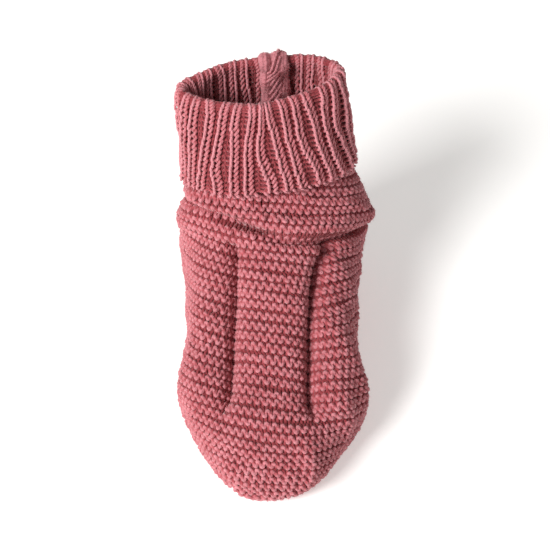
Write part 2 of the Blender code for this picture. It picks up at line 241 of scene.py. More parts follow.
class SlipperSizes(bpy.types.PropertyGroup):
    """Sizes of the yarn and of its stitches."""

    stitch_width: metres("Stitch width", "Width of one garter stitch", 0.00285)
    ridge_height: metres("Ridge height", "Height of one garter ridge, which is two rows", 0.0038)
    garter_yarn: metres("Garter yarn", "Diameter of the yarn in the foot and the sole", 0.00145)
    rib_count: bpy.props.IntProperty(name="Ribs", description="Knit ribs round the cuff", default=31, min=8)
    rib_row: metres("Rib row", "Height of one row of the rib", 0.00195)
    rib_yarn: metres("Rib yarn", "Diameter of the yarn in the cuff", 0.00115)
    fuzz_length: metres("Fuzz length", "Length of the loose fibres", 0.0017)
    fuzz_spread: spread_of("Fuzz spread", "Loose fibres on a square metre of the yarn's front", 400000.0)
    seam_fuzz_spread: spread_of(
        "Seam fuzz spread", "Loose fibres on a square metre of the back seam", 12000000.0,
    )


class SlipperColours(bpy.types.PropertyGroup):
    """Colours of the wool."""

    rose: shade("Rose", "Dyed wool in plain light", "#B1545A")
    # Painted shade: the yarn takes this colour where it sinks back from the front, and where its dye runs
    # deep
    deep_dye_and_shade: shade("Deep rose", "Painted shade where the yarn sinks back, and wool where the dye took more strongly", "#751C22")
    # Painted highlight: the yarn takes this colour where it comes to the front, and where its dye runs pale
    pale_dye_and_highlight: shade("Pale rose", "Painted highlight where the yarn comes to the front, and paler dye", "#D3888F")
    # Painted shade: a dark sheet that shows between the garter stitches
    stitch_gap_shade: shade("Stitch gap", "Painted shade: a dark sheet seen deep between the garter stitches", "#4C0E12")
    # Painted shade: the wall seen between the ribs is a little darker than the wool
    rib_gap_shade: shade("Rib gap", "Wool between the ribs, painted darker as shade", "#9A4E54")
    inside: shade("Inside", "Wrong side of the knit, inside the foot", "#B0646A")
    fibre: shade("Fibre", "Painted highlight: single fibres painted paler, as they catch the light", "#EBA9AE")
    sheen: shade("Sheen", "Nap of the wool at a flat angle", "#FFE0DF")
    floor: shade("Floor", "Pale studio floor", "#F4F3F1")


def between_rows(column, rows):
    """The value of a table column at fractional rows, on a smooth curve through the table's own values."""
    values = np.array([getattr(section, column) for section in LAST])
    low = np.clip(np.floor(rows).astype(int), 0, RIM_ROW - 1)
    step = rows - low
    before = values[np.maximum(low - 1, 0)]
    start = values[low]
    end = values[low + 1]
    after = values[np.minimum(low + 2, RIM_ROW)]
    linear = end - before
    square = 2 * before - 5 * start + 4 * end - after
    cube = 3 * start - before - 3 * end + after
    return start + 0.5 * step * (linear + step * (square + step * cube))


def smooth_step(start, end, value):
    """0 before start, 1 after end, and a smooth ramp between them."""
    share = np.clip((value - start) / (end - start), 0.0, 1.0)
    return share * share * (3 - 2 * share)


def bell(distance, half_width):
    """1 at no distance, falling smoothly to nothing."""
    return np.exp(-((distance / half_width) ** 2))


def unit(vectors):
    """Vectors of length 1 that point the same way."""
    return vectors / np.maximum(np.linalg.norm(vectors, axis=-1, keepdims=True), NO_LENGTH)


def dot(one, other):
    """Dot products of two lists of vectors."""
    return (one * other).sum(-1)


def plain_last(rows, angles):
    """Points of the last before its folds. Angle 0 is a section's top point, a quarter turn is at +X."""
    sine = np.sin(angles)
    cosine = np.cos(angles)
    on_top = cosine >= 0
    power = np.where(on_top, between_rows("top_power", rows), between_rows("base_power", rows))
    across = np.sign(sine) * np.abs(sine) ** (2 / power)
    rise = np.abs(cosine) ** (2 / power)
    widest = between_rows("widest", rows)
    share = np.where(on_top, widest + (1 - widest) * rise, widest * (1 - rise))
    back_along = between_rows("back_along", rows)
    back_height = between_rows("back_height", rows)
    along = back_along + (between_rows("top_along", rows) - back_along) * share
    height = back_height + (between_rows("top_height", rows) - back_height) * share
    half_ball = BALL_WIDTH / 2
    reach = np.maximum(between_rows("half_width", rows), 0.0) * half_ball * across
    turn = np.radians(between_rows("turn", rows))
    x = between_rows("shift", rows) * half_ball + reach * np.cos(turn) - ORIGIN_ACROSS
    y = along * FOOT_LENGTH + reach * np.sin(turn) - ORIGIN_ALONG
    return np.stack(np.broadcast_arrays(x, y, height * COLLAR_HEIGHT), axis=-1)


def last_normals(rows, angles):
    """Outward unit normals of the plain last, from points a little to each side."""
    along = plain_last(rows + ROW_STEP, angles) - plain_last(np.maximum(rows - ROW_STEP, 0.0), angles)
    around = plain_last(rows, angles + ANGLE_STEP) - plain_last(rows, angles - ANGLE_STEP)
    normals = np.cross(around, along)
    lengths = np.linalg.norm(normals, axis=-1, keepdims=True)
    forward = np.array([0.0, -1.0, 0.0])
    return np.where(lengths > NO_AREA, normals / np.maximum(lengths, NO_AREA), forward)


def over_crease(points):
    """Distance of points over the plane of the ankle's main crease."""
    front = (0.0, CREASE_ALONG * FOOT_LENGTH - ORIGIN_ALONG, CREASE_HEIGHT * COLLAR_HEIGHT)
    dip = CREASE_DIP * bell(points[..., 0] - CREASE_DIP_ACROSS, CREASE_DIP_HALF_WIDTH)
    return (points - np.array(front)) @ CREASE_PLANE + dip


def pleat_height(pleat, rows, points, wall):
    """How far a pleat, its flanks and its roll move the wool. The trough bends through its three places."""
    share = np.clip((rows - pleat.first_row) / (pleat.last_row - pleat.first_row), 0.0, 1.0)
    trough = (
        pleat.first_across * (1 - share) * (1 - 2 * share)
        + pleat.middle_across * 4 * share * (1 - share)
        + pleat.last_across * share * (2 * share - 1)
    )
    outwards = (points[..., 0] + ORIGIN_ACROSS - trough) * np.sign(pleat.first_across)
    begins = smooth_step(pleat.first_row, pleat.first_row + PLEAT_FADE_ROWS, rows)
    ends = 1 - smooth_step(pleat.last_row - PLEAT_FADE_ROWS, pleat.last_row, rows)
    half_width = pleat.half_width + WALL_PLEAT_WIDENING * wall
    depth = pleat.depth + WALL_PLEAT_DEEPENING * wall
    roll = ROLL_HEIGHT * bell(outwards - ROLL_AWAY, ROLL_SPREAD)
    flank = FLANK_DEPTH * bell(outwards, FLANK_HALF_WIDTH)
    return begins * ends * (roll - flank - depth * bell(outwards, half_width))


def fold_height(rows, angles, wall=False):
    """How far the wool stands off the plain last: below zero in pleats and creases, above on rolls."""
    points = plain_last(rows, angles)
    cosine = np.cos(angles)
    height = np.zeros(np.broadcast(rows, angles).shape)
    on_top = smooth_step(0.0, PLEAT_SIDE_FADE, cosine)
    for pleat in PLEATS:
        height += on_top * pleat_height(pleat, rows, points, wall)
    shown = smooth_step(*FOLD_BACK_COSINES, cosine) * (1 - smooth_step(*FOLD_FADE_ROWS, rows))
    side_share = np.where(np.sin(angles) < 0, FOLD_LEFT_SHARE, FOLD_RIGHT_SHARE)
    shown = shown * (side_share + (1 - side_share) * smooth_step(*FOLD_SIDE_COSINES, cosine))
    over = over_crease(points)
    for fold in FOLDS:
        height -= fold.depth * shown * bell(over - fold.over_crease, fold.half_width)
    pinch = bell(points[..., 0] - PINCH_ACROSS, PINCH_HALF_WIDTHS[0])
    pinch = pinch * bell(over - PINCH_OVER_CREASE, PINCH_HALF_WIDTHS[1])
    height -= PINCH_DEPTH * shown * pinch
    off_floor = smooth_step(*LUMP_HEIGHTS, points[..., 2])
    for size, row_waves, round_waves in LUMPS:
        height += size * off_floor * np.sin(2 * math.pi * row_waves * rows + round_waves * angles)
    return height


def wool_form(rows, angles, under, wall=False):
    """Points of the foot at a depth under its outer face, folds included and lifted to the floor."""
    folds = fold_height(rows, angles, wall)
    normals = last_normals(rows, angles)
    face = plain_last(rows, angles) + normals * folds[..., None]
    points = face - normals * np.broadcast_to(under, folds.shape)[..., None]
    points[..., 2] += np.maximum(-face[..., 2], 0.0)
    return points


def cuff_form(path, angles, under):
    """Points of the turned-down rib along its path, at a depth under its face."""
    turn = np.clip(path / FOLD_RADIUS, -math.pi / 2, math.pi / 2)
    radius = FOLD_RADIUS - under
    down = np.maximum(np.abs(path) - FOLD_QUARTER, 0.0)
    outside_rows = (HEM_ROW - RIM_ROW) / CUFF_OUTSIDE_DROP
    inside_rows = (JOINT_ROW - RIM_ROW) / CUFF_INSIDE_DROP
    rows = RIM_ROW + down * np.where(path > 0, outside_rows, inside_rows)
    off_wall = CUFF_SLIT / 2 + radius * np.sin(turn)
    wall = wool_form(rows, angles, -off_wall)
    rim = plain_last(np.full_like(rows, RIM_ROW), angles)
    shaft = unit(rim - plain_last(np.full_like(rows, RIM_ROW - SHAFT_SPAN_ROWS), angles))
    return wall + shaft * (radius * np.cos(turn))[..., None]


def run_lengths(points):
    """Length along a line of points, up to each of them."""
    steps = np.linalg.norm(np.diff(points, axis=0), axis=1)
    return np.concatenate([[0.0], np.cumsum(steps)])


# Garter stitch. Each ridge is a knit row and the purl row after it, whose loops meet in front in a wave.
STITCH_POINTS = 10
# How far the points of a stitch move towards its two heads, in stitches
HEAD_CROWDING = 0.03
GARTER_SIDES = 5
SOLE_SIDES = 4
# A loop's swing in ridges, its omega shape and its lean in stitch widths, and its swing in and out
LOOP_SWING = 0.51
LOOP_OMEGA = 0.07
LOOP_LEAN = 0.11
LOOP_DEPTH = 0.0009
# For the knit row and the purl row: middle in ridges, which way its loops swing, and lift off the form
KNIT_AND_PURL = ((-0.25, -1.0, 0.0), (0.25, 1.0, 0.0002))
GARTER_MIDDLE = 0.0018
# A ridge has whole stitches only, counted with a little slack, and at least a few of them
STITCH_SLACK = 0.01
FEWEST_STITCHES = 2
LOWEST_YARN_ROW = 0.02
# How uneven hand knitting is: shares of the stitch's own size
UNEVEN_WIDTH = 0.05
UNEVEN_SWING = 0.08
UNEVEN_DEPTH = 0.16
ROW_DRIFT = 0.06
DRIFT_STITCHES = 5
# The ridges go on a little way under the cuff's hem, and down past the edge of the sole
UNDER_HEM_ROWS = 0.3
PAST_EDGE = 0.0016
# A ridge takes up its share of the room to the next one, within these shares of its own height
RIDGE_STRETCH = (0.7, 1.5)
# The foot's ridges lie in planes that lean back as they go down its sides, and fall a little to +X
FOOT_PLANE = np.array([0.11, 0.58, 0.81])
FOOT_RIDGE_STEP = 0.90
TOE_RIDGE_STEP = 0.84
TOE_RIDGES = 8
# The first ridge's place is brought forward by this share of a ridge. There are more than enough ridges to
# reach the top row at the back.
FIRST_RIDGE_FORWARD = 0.5
ENOUGH_RIDGES = 80
TOP_RIDGE_ROW = 14.5
# Levels are looked for from this row on, past the point of the toe tip, at this many rows
FIRST_ROW = 0.05
LEVEL_ROWS = 700
# One more ridge runs along the toe's front edge, this far over the edge and within this span of that height
TOE_EDGE_RISE = 0.0012
TOE_EDGE_SPAN = 0.0005
# Rows of the sole's flat, and how finely it is measured
SOLE_ROWS = (1.4, 11.0)
SOLE_POINTS = 2400
# Points once round the form, from its front at angle 0 towards +X, closer where a squarish section is flat.
# A stretch of a ridge has more than a few of them.
ROUND_POINTS = 720
SHORT_STRETCH = 3
QUARTER_SHARES = np.arange(ROUND_POINTS // 4) / (ROUND_POINTS // 4)
QUARTER_ANGLES = math.pi / 2 * QUARTER_SHARES**2 / (QUARTER_SHARES**2 + (1 - QUARTER_SHARES) ** 2)
ROUND_ANGLES = np.concatenate([quarter * math.pi / 2 + QUARTER_ANGLES for quarter in range(4)])

Ridge = namedtuple("Ridge", "angles rows heights run row_per_metre angle_per_metre is_ring")


def stretches(mask):
    """First and last index of each unbroken stretch of a mask."""
    edges = np.flatnonzero(np.diff(np.concatenate([[0], mask.astype(int), [0]])))
    return [(first, end - 1) for first, end in zip(edges[::2], edges[1::2]) if end - first > SHORT_STRETCH]


def level_rows(level_of, levels):
    """For each level, the row at each angle where the plain last reaches it."""
    fine = np.linspace(FIRST_ROW, RIM_ROW, LEVEL_ROWS)
    reached = np.maximum.accumulate(level_of(plain_last(fine[:, None], ROUND_ANGLES[None, :])), axis=0)
    return np.array([[np.interp(level, column, fine) for column in reached.T] for level in levels])


def way_up(level, line):
    """Directions up across a line on the last, and the rows and the angles that a metre that way takes."""
    below = np.maximum(level - ROW_STEP, 0.0)
    by_row = plain_last(level + ROW_STEP, ROUND_ANGLES) - plain_last(below, ROUND_ANGLES)
    by_row /= (level + ROW_STEP - below)[:, None]
    by_angle = plain_last(level, ROUND_ANGLES + ANGLE_STEP) - plain_last(level, ROUND_ANGLES - ANGLE_STEP)
    by_angle /= 2 * ANGLE_STEP
    along = unit(np.roll(line, -1, axis=0) - np.roll(line, 1, axis=0))
    up = unit(by_row - along * dot(by_row, along)[:, None])
    crossed = dot(by_row, by_angle)
    spread = np.maximum(dot(by_row, by_row) * dot(by_angle, by_angle) - crossed**2, NO_SPREAD)
    row_per_metre = (dot(by_angle, by_angle) * dot(by_row, up) - crossed * dot(by_angle, up)) / spread
    angle_per_metre = (dot(by_row, by_row) * dot(by_angle, up) - crossed * dot(by_row, up)) / spread
    return up, row_per_metre, angle_per_metre


def garter_ridges(rows, ridge_height, keeps):
    """Ridges along lines of rows, one row for each angle, cut to where keeps says that their wool shows."""
    lines = plain_last(rows, ROUND_ANGLES[None, :])
    half = ROUND_POINTS // 2
    ridges = []
    for index, level in enumerate(rows):
        up, row_per_metre, angle_per_metre = way_up(level, lines[index])
        low = max(index - 1, 0)
        high = min(index + 1, len(rows) - 1)
        room = dot(lines[high] - lines[low], up) / (high - low)
        heights = np.clip(room, RIDGE_STRETCH[0] * ridge_height, RIDGE_STRETCH[1] * ridge_height)
        face = wool_form(level, ROUND_ANGLES, GARTER_MIDDLE)
        once_round = run_lengths(np.concatenate([face, face[:1]]))
        kept = keeps(lines[index], level)
        is_ring = bool(kept.all())
        start = half if is_ring else np.flatnonzero(~kept)[0]
        order = start + np.arange(ROUND_POINTS + 1)
        turned = order % ROUND_POINTS
        run = once_round[turned] + once_round[-1] * (order // ROUND_POINTS)
        for first, last in stretches(kept[turned]):
            # Stitches are counted from the middle of the front, round the heel from the middle of the back
            turns = round((order[first] + order[last]) / 2 / ROUND_POINTS)
            backs = [back for back in (half, half + ROUND_POINTS) if order[first] < back < order[last]]
            counted_from = turns * once_round[-1]
            if backs and not order[first] <= turns * ROUND_POINTS <= order[last]:
                counted_from = np.interp(backs[0], order, run)
            if is_ring:
                counted_from = run[0]
            shown = slice(first, last + 1)
            chosen = turned[shown]
            ridges.append(Ridge(
                ROUND_ANGLES[chosen] + 2 * math.pi * (order[shown] // ROUND_POINTS),
                level[chosen],
                heights[chosen],
                run[shown] - counted_from,
                row_per_metre[chosen],
                angle_per_metre[chosen],
                is_ring,
            ))
    return ridges


def foot_level(points):
    """Level of points over the planes of the foot's ridges."""
    return points @ FOOT_PLANE


TOE_LEVEL = foot_level(plain_last(np.array(0.0), np.array(0.0)))


def foot_ridges(ridge_height):
    """Ridges across the foot and round the heel, from the toe tip up to under the cuff's hem."""
    top = foot_level(plain_last(np.array(TOP_RIDGE_ROW), np.array(math.pi)))
    steps = np.full(ENOUGH_RIDGES, FOOT_RIDGE_STEP * ridge_height)
    steps[:TOE_RIDGES] = TOE_RIDGE_STEP * ridge_height
    levels = TOE_LEVEL + np.cumsum(steps) - FIRST_RIDGE_FORWARD * ridge_height
    rows = level_rows(foot_level, levels[levels < top])
    return garter_ridges(rows, ridge_height, lambda points, at_rows: (
        (points[..., 2] > FEATHER_HEIGHT - PAST_EDGE) & (at_rows < HEM_ROW + UNDER_HEM_ROWS)
    ))


def toe_edge_ridges(ridge_height):
    """A ridge along the toe's front edge, below the first of the foot's own."""
    edge = FEATHER_HEIGHT + TOE_EDGE_RISE
    heights = np.array([edge, edge + ridge_height])
    rows = level_rows(lambda points: -points[..., 2], -heights)
    return garter_ridges(rows, ridge_height, lambda points, at_rows: (
        (np.abs(points[..., 2] - edge) < TOE_EDGE_SPAN) & (foot_level(points) < TOE_LEVEL)
    ))


def sole_ridges(ridge_height):
    """Ridges across the flat of the sole."""
    fine = np.linspace(*SOLE_ROWS, SOLE_POINTS)
    run = run_lengths(plain_last(fine, np.full_like(fine, math.pi)))
    levels = np.interp(np.arange(0.0, run[-1], ridge_height), run, fine)
    rows = levels[:, None] + np.zeros(ROUND_POINTS)
    return garter_ridges(rows, ridge_height, lambda points, at_rows: points[..., 2] < FEATHER_HEIGHT)


def uneven(random, count, turn, amount):
    """A number near 1 for each stitch, running smoothly on from stitch to stitch and from last to first."""
    values = random.standard_normal(count + 1)
    values[-1] = values[0]
    return 1 + amount * np.interp(turn, np.arange(count + 1), values)


def garter_courses(ridge, sizes, random):
    """The two yarn lines of a ridge: a knit row and the purl row that locks into its heads."""
    width = sizes.stitch_width
    if ridge.is_ring:
        width = ridge.run[-1] / round(ridge.run[-1] / width)
    first = math.ceil(ridge.run[0] / width - STITCH_SLACK)
    count = math.floor(ridge.run[-1] / width + STITCH_SLACK) - first
    if count < FEWEST_STITCHES:
        return []
    turn = np.arange(count * STITCH_POINTS + 1) / STITCH_POINTS
    turn = turn - HEAD_CROWDING * np.sin(4 * math.pi * turn)
    phase = 2 * math.pi * turn
    lean = uneven(random, count, turn, UNEVEN_WIDTH) - 1
    swing = LOOP_SWING * uneven(random, count, turn, UNEVEN_SWING)
    depth = LOOP_DEPTH * uneven(random, count, turn, UNEVEN_DEPTH)
    drift = uneven(random, count // DRIFT_STITCHES + 1, turn / DRIFT_STITCHES, ROW_DRIFT) - 1
    across = first + turn + LOOP_OMEGA * np.sin(2 * phase) + LOOP_LEAN * np.cos(phase) + lean
    angles = np.interp(across * width, ridge.run, ridge.angles)
    rows, heights, row_per_metre, angle_per_metre = (
        np.interp(angles, ridge.angles, column)
        for column in (ridge.rows, ridge.heights, ridge.row_per_metre, ridge.angle_per_metre)
    )
    courses = []
    for centre, facing, lift in KNIT_AND_PURL:
        up = (centre + drift - swing * np.cos(phase)) * heights
        out = facing * depth * np.cos(phase) + lift
        at_rows = np.clip(rows + up * row_per_metre, LOWEST_YARN_ROW, RIM_ROW)
        points = wool_form(at_rows, angles + up * angle_per_metre, GARTER_MIDDLE - out)
        points[:, 2] = np.maximum(points[:, 2], sizes.garter_yarn / 2)
        # The fourth column, how far to the front the yarn lies, sets its painted shade and highlight
        courses.append(np.column_stack([points, 0.5 + 0.5 * facing * np.cos(phase)]))
    return courses


def garter_lines(ridges, sizes, seed):
    """The yarn lines of all ridges, uneven in the way that the seed gives."""
    random = np.random.default_rng(seed)
    return [line for ridge in ridges for line in garter_courses(ridge, sizes, random)]


# Single rib: one repeat as points of its yarn, across in shares of the repeat, up in rows and out in shares
# of the relief. A knit stitch with a straight left leg and a slanting right one, then a purl stitch behind.
RIB_LOOP = (
    (0.00, 0.00, -0.7),
    (0.10, -0.05, 0.5),
    (0.12, 0.18, 1.35),
    (0.12, 0.55, 1.45),
    (0.12, 0.92, 1.40),
    (0.14, 1.16, 0.6),
    (0.30, 1.30, -0.4),
    (0.51, 1.22, 0.0),
    (0.58, 0.98, 0.35),
    (0.47, 0.52, 0.60),
    (0.36, 0.08, 0.45),
    (0.40, -0.14, -0.1),
    (0.56, -0.12, -0.8),
    (0.69, 0.10, -1.1),
    (0.72, 0.60, -1.2),
    (0.74, 1.00, -0.9),
    (0.83, 1.16, -0.6),
    (0.91, 1.00, -0.9),
    (0.92, 0.50, -1.2),
    (0.95, 0.12, -1.0),
)
RIB_RELIEF = 0.0007
RIB_MIDDLE = 0.0013
RIB_SIDES = 5
# Painted light: the rib's wool is painted paler than the foot's, as if the cuff were more brightly lit
RIB_PALER = 0.2
# The first ring lies this many rows over the hem, and ribs are spaced by a line of this many points
RIB_FIRST_RING = 0.6
RIB_ROUND_POINTS = 1441
# Share of a stitch's uneven width that moves a rib
RIB_UNEVEN = 0.5
# How far to the front the yarn counts as lying, which sets its painted shade and highlight, at the rib's
# middle and for each share of its relief
RIB_FRONT = 0.42
RIB_FRONT_RISE = 0.42
# Over the fold the ribs are pulled nearly flat, within a reach of its crest. Inside they stay flatter too.
RIM_FLATTEN = 0.8
RIM_FLATTEN_REACH = 0.005
INSIDE_FLATTEN = 0.60
# Ribs waver by a share of a repeat, over a length of rib in metres and with some turns for each rib.
# Towards the hem they fan out from a rib left of the middle.
RIB_WAVER = ((0.10, 0.045, 0.37), (0.05, 0.021, 1.7))
RIB_FAN = 0.16
RIB_FAN_MIDDLE = -0.35
RIB_FAN_FROM = 0.018
# The cast-on edge is a chain of two loops for each rib: points of a loop, its swing along the rib, its lean
# round the cuff in radians, where in the loop that starts, and how far to the front it lies, which sets its
# painted shade: its middle and its swing
CAST_ON_LOOPS = 2
CAST_ON_POINTS = 8
CAST_ON_SWING = 0.0009
CAST_ON_LEAN = 0.9
CAST_ON_TURN = 0.9
CAST_ON_FRONT = (0.6, 0.4)


def rib_angles(count):
    """The cuff's angle for each number of ribs from the middle of the back, evenly round its middle."""
    fine = np.linspace(-math.pi, math.pi, RIB_ROUND_POINTS)
    path = np.full_like(fine, FOLD_QUARTER + CUFF_OUTSIDE_DROP / 2)
    run = run_lengths(cuff_form(path, fine, np.zeros_like(fine)))
    return run / run[-1] * count, fine


def rib_courses(sizes, random):
    """Rings of knit and purl loops, from the hem over the fold and down inside, then the cast-on chain."""
    count = sizes.rib_count
    repeats, fine_angles = rib_angles(count)
    across, up, out = np.tile(np.array(RIB_LOOP).T, count)
    number = np.repeat(np.arange(count), len(RIB_LOOP))
    first_ring = CUFF_HEM - RIB_FIRST_RING * sizes.rib_row
    courses = []
    for level in np.arange(first_ring, CUFF_INSIDE_END + sizes.rib_row, -sizes.rib_row):
        repeat = number + across
        for size, length, turns in RIB_WAVER:
            wave = level / length + round(turns * count) * number / count
            repeat = repeat + size * np.sin(2 * math.pi * wave)
        repeat = repeat + RIB_UNEVEN * (uneven(random, count, number + across, UNEVEN_WIDTH) - 1)
        angles = np.interp(repeat % count, repeats, fine_angles)
        fan = RIB_FAN * smooth_step(RIB_FAN_FROM, CUFF_HEM, level)
        angles = angles + fan * np.sin(angles - RIB_FAN_MIDDLE)
        flat = 1 - RIM_FLATTEN * bell(level, RIM_FLATTEN_REACH)
        flat *= 1 - INSIDE_FLATTEN * smooth_step(0.0, FOLD_QUARTER, -level)
        relief = flat * RIB_RELIEF * uneven(random, count, number + across, UNEVEN_DEPTH)
        path = level - (up - 0.5) * sizes.rib_row
        points = cuff_form(path, angles, RIB_MIDDLE - relief * out)
        front = np.clip(RIB_FRONT + RIB_FRONT_RISE * out, 0.0, 1.0)
        ring = np.column_stack([points, front])
        courses.append(np.concatenate([ring, ring[:1]]))
    loops = CAST_ON_LOOPS * count
    turn = np.linspace(0.0, 1.0, loops * CAST_ON_POINTS + 1)
    phase = 2 * math.pi * loops * turn
    angles = np.interp(turn * count, repeats, fine_angles)
    angles = angles + CAST_ON_LEAN / count * np.cos(phase + CAST_ON_TURN)
    angles = angles + RIB_FAN * np.sin(angles - RIB_FAN_MIDDLE)
    path = CUFF_HEM + CAST_ON_SWING * np.cos(phase)
    points = cuff_form(path, angles, RIB_MIDDLE - RIB_RELIEF * np.cos(phase))
    courses.append(np.column_stack([points, CAST_ON_FRONT[0] + CAST_ON_FRONT[1] * np.cos(phase)]))
    return courses


# Back seam: two selvedges that curl into soft rolls, sewn together with slanting stitches. A roll has a
# middle and a half width, in half widths of the seam. Along its length it sinks and narrows in puffs, and
# the second roll's puffs are shifted against the first's.
SEAM_ROLLS = ((0.62, 0.34), (-0.30, 0.62))
SEAM_ROLL_SHARE = 0.95
SEAM_PLUMP_SHARE = 0.5
SEAM_PLUMP_LENGTH = 0.0088
SEAM_PLUMP_SHIFT = 2.0
SEAM_WAIST = 0.22
SEAM_EDGE = 0.0003
# Its brushed wool stands in tufts between two slanting waves: how high, and for each wave its length along
# the seam and its turns in half a width
SEAM_TUFT = 0.00042
SEAM_TUFT_WAVES = ((0.0026, 2.2), (0.0033, -1.7))
# Over the rim the seam is pulled thin and narrow: the shares that it loses, and over what stretch it thins
SEAM_RIM_THINNING = 0.40
SEAM_RIM_PATH = (-0.005, 0.002)
SEAM_RIM_NARROWING = 0.50
# Its end runs out into the rib: over what length, and how deep its underside lies in the rib
SEAM_END = 0.0024
SEAM_SINK = 0.0008
# Its body has this many points along and across
SEAM_GRID = (64, 45)
# Its stitches: yarn, distance, slant along the seam and points of each
SEAM_YARN = 0.0010
SEAM_STITCH = 0.0024
SEAM_SLANT = 0.0066
SEAM_STITCH_POINTS = 10
# A stitch's middle and reach across the seam, and how far its ends sink, in shares of the seam's own sizes
SEAM_STITCH_MIDDLE = 0.10
SEAM_STITCH_REACH = 0.42
SEAM_STITCH_SINK = 0.25
SEAM_WANDER = 0.0003
# Painted light: the seam's rolls are painted paler as if brightly lit, and its strands take the palest colour
# as a painted highlight
SEAM_PALER = 0.9
SEAM_STRAND_PALER = 1.0


def seam_end(path):
    """0 along the seam, rising to 1 where it runs out over the rim."""
    return smooth_step(BACK_SEAM_OUTSIDE - SEAM_END, BACK_SEAM_OUTSIDE, path)


def seam_thickness(path):
    """How far the seam's yarn stands over the rib."""
    thinning = SEAM_RIM_THINNING * smooth_step(*SEAM_RIM_PATH, path)
    return BACK_SEAM_THICKNESS * (1 - thinning) * (1 - seam_end(path))


def seam_form(path, angles, height):
    """Points of the seam at a height over the rib, into which its end sinks."""
    return cuff_form(path, angles, (SEAM_GAP + SEAM_SINK) * seam_end(path) - SEAM_GAP - height)


def seam_rolls(path):
    """For each of the seam's rolls: its middle, its half width and how full it is, along the path."""
    rolls = []
    for number, (middle, half_width) in enumerate(SEAM_ROLLS):
        sink = 0.5 + 0.5 * np.sin(2 * math.pi * path / SEAM_PLUMP_LENGTH + SEAM_PLUMP_SHIFT * number)
        rolls.append((middle, half_width * (1 - SEAM_WAIST * sink), 1 - SEAM_PLUMP_SHARE * sink))
    return rolls


def seam_height(across, path):
    """Height of the seam's two rolls over the rib."""
    height = np.zeros(np.broadcast(across, path).shape)
    for middle, half_width, fullness in seam_rolls(path):
        roll = np.sqrt(np.clip(1 - ((across - middle) / half_width) ** 2, 0.0, 1.0))
        height = np.maximum(height, roll * fullness)
    tuft = SEAM_TUFT * height
    for length, turns in SEAM_TUFT_WAVES:
        tuft = tuft * np.sin(2 * math.pi * (path / length + turns * across))
    return np.maximum(SEAM_ROLL_SHARE * seam_thickness(path) * height + tuft, SEAM_EDGE)


def seam_angles(across, path):
    """The cuff's angle at a place across the seam, which narrows over the rim."""
    narrowing = 1 - SEAM_RIM_NARROWING * smooth_step(0.0, BACK_SEAM_OUTSIDE, path)
    return BACK_SEAM_ANGLE + across * BACK_SEAM_HALF_ANGLE * narrowing


def seam_lines(random):
    """Slanting stitches over the dip between the seam's two rolls."""
    half_slant = SEAM_SLANT / 2
    share = np.linspace(-1.0, 1.0, SEAM_STITCH_POINTS)
    courses = []
    for start in np.arange(BACK_SEAM_START + half_slant, BACK_SEAM_OUTSIDE - half_slant, SEAM_STITCH):
        path = start + half_slant * share + SEAM_WANDER * random.standard_normal()
        reach = SEAM_STITCH_REACH * (1 + UNEVEN_DEPTH * random.standard_normal())
        angles = seam_angles(SEAM_STITCH_MIDDLE - reach * share, path)
        bridge = seam_thickness(path) * (1 - SEAM_STITCH_SINK * share**2)
        courses.append(np.column_stack([seam_form(path, angles, bridge), np.ones_like(share)]))
    return courses


# Sole seam: overcast stitches round the feather line, the edge where upper and sole meet. Each has a
# length, a reach in and out, a reach up and down in shares of that, and points. They wind round a line
# under the form.
OVERCAST_STITCH = 0.0025
OVERCAST_RADIUS = 0.0012
OVERCAST_RISE = 1.5
OVERCAST_POINTS = 9
OVERCAST_UNDER = 0.0020
# The feather line is looked for between these rows, at this many rows and angles
FEATHER_ROWS = (1.0, 11.4)
FEATHER_ROW_POINTS = 900
FEATHER_ANGLE_POINTS = 400


def feather_line():
    """Rows and angles round the feather line, as one closed line from the toe."""
    angles = np.linspace(math.pi / 2, math.pi, FEATHER_ANGLE_POINTS)
    rows = np.linspace(*FEATHER_ROWS, FEATHER_ROW_POINTS)
    heights = plain_last(rows[:, None], angles[None, :])[..., 2]
    crosses = (heights[:, 0] > FEATHER_HEIGHT) & (heights[:, -1] < FEATHER_HEIGHT)
    rows = rows[crosses]
    right = np.array([np.interp(-FEATHER_HEIGHT, -line, angles) for line in heights[crosses]])
    return np.concatenate([rows, rows[::-1]]), np.concatenate([right, 2 * math.pi - right[::-1]])


def overcast_line():
    """One yarn that winds round the feather line."""
    rows, angles = feather_line()
    core = wool_form(rows, angles, np.full_like(rows, OVERCAST_UNDER))
    outward = last_normals(rows, angles)
    core = np.concatenate([core, core[:1]])
    outward = np.concatenate([outward, outward[:1]])
    run = run_lengths(core)
    count = round(run[-1] / OVERCAST_STITCH)
    share = np.linspace(0.0, 1.0, count * OVERCAST_POINTS + 1)
    place, out = (
        np.stack([np.interp(share * run[-1], run, column) for column in points.T], axis=1)
        for points in (core, outward)
    )
    out[:, 2] = 0.0
    phase = 2 * math.pi * count * share
    place += OVERCAST_RADIUS * np.cos(phase)[:, None] * unit(out)
    place[:, 2] += OVERCAST_RISE * OVERCAST_RADIUS * np.sin(phase)
    # The fourth column, how far to the front the yarn lies, sets its painted shade where it winds under
    return np.column_stack([place, 0.5 + 0.5 * np.cos(phase)])


def add_node(tree, kind, links=None, **settings):
    """Adds a node with its settings. links gives each input a value, or the output that feeds it."""
    node = tree.nodes.new(kind)
    for name, value in settings.items():
        setattr(node, name, value)
    for name, source in (links or {}).items():
        if isinstance(source, bpy.types.NodeSocket):
            tree.links.new(source, node.inputs[name])
        else:
            node.inputs[name].default_value = source
    return node


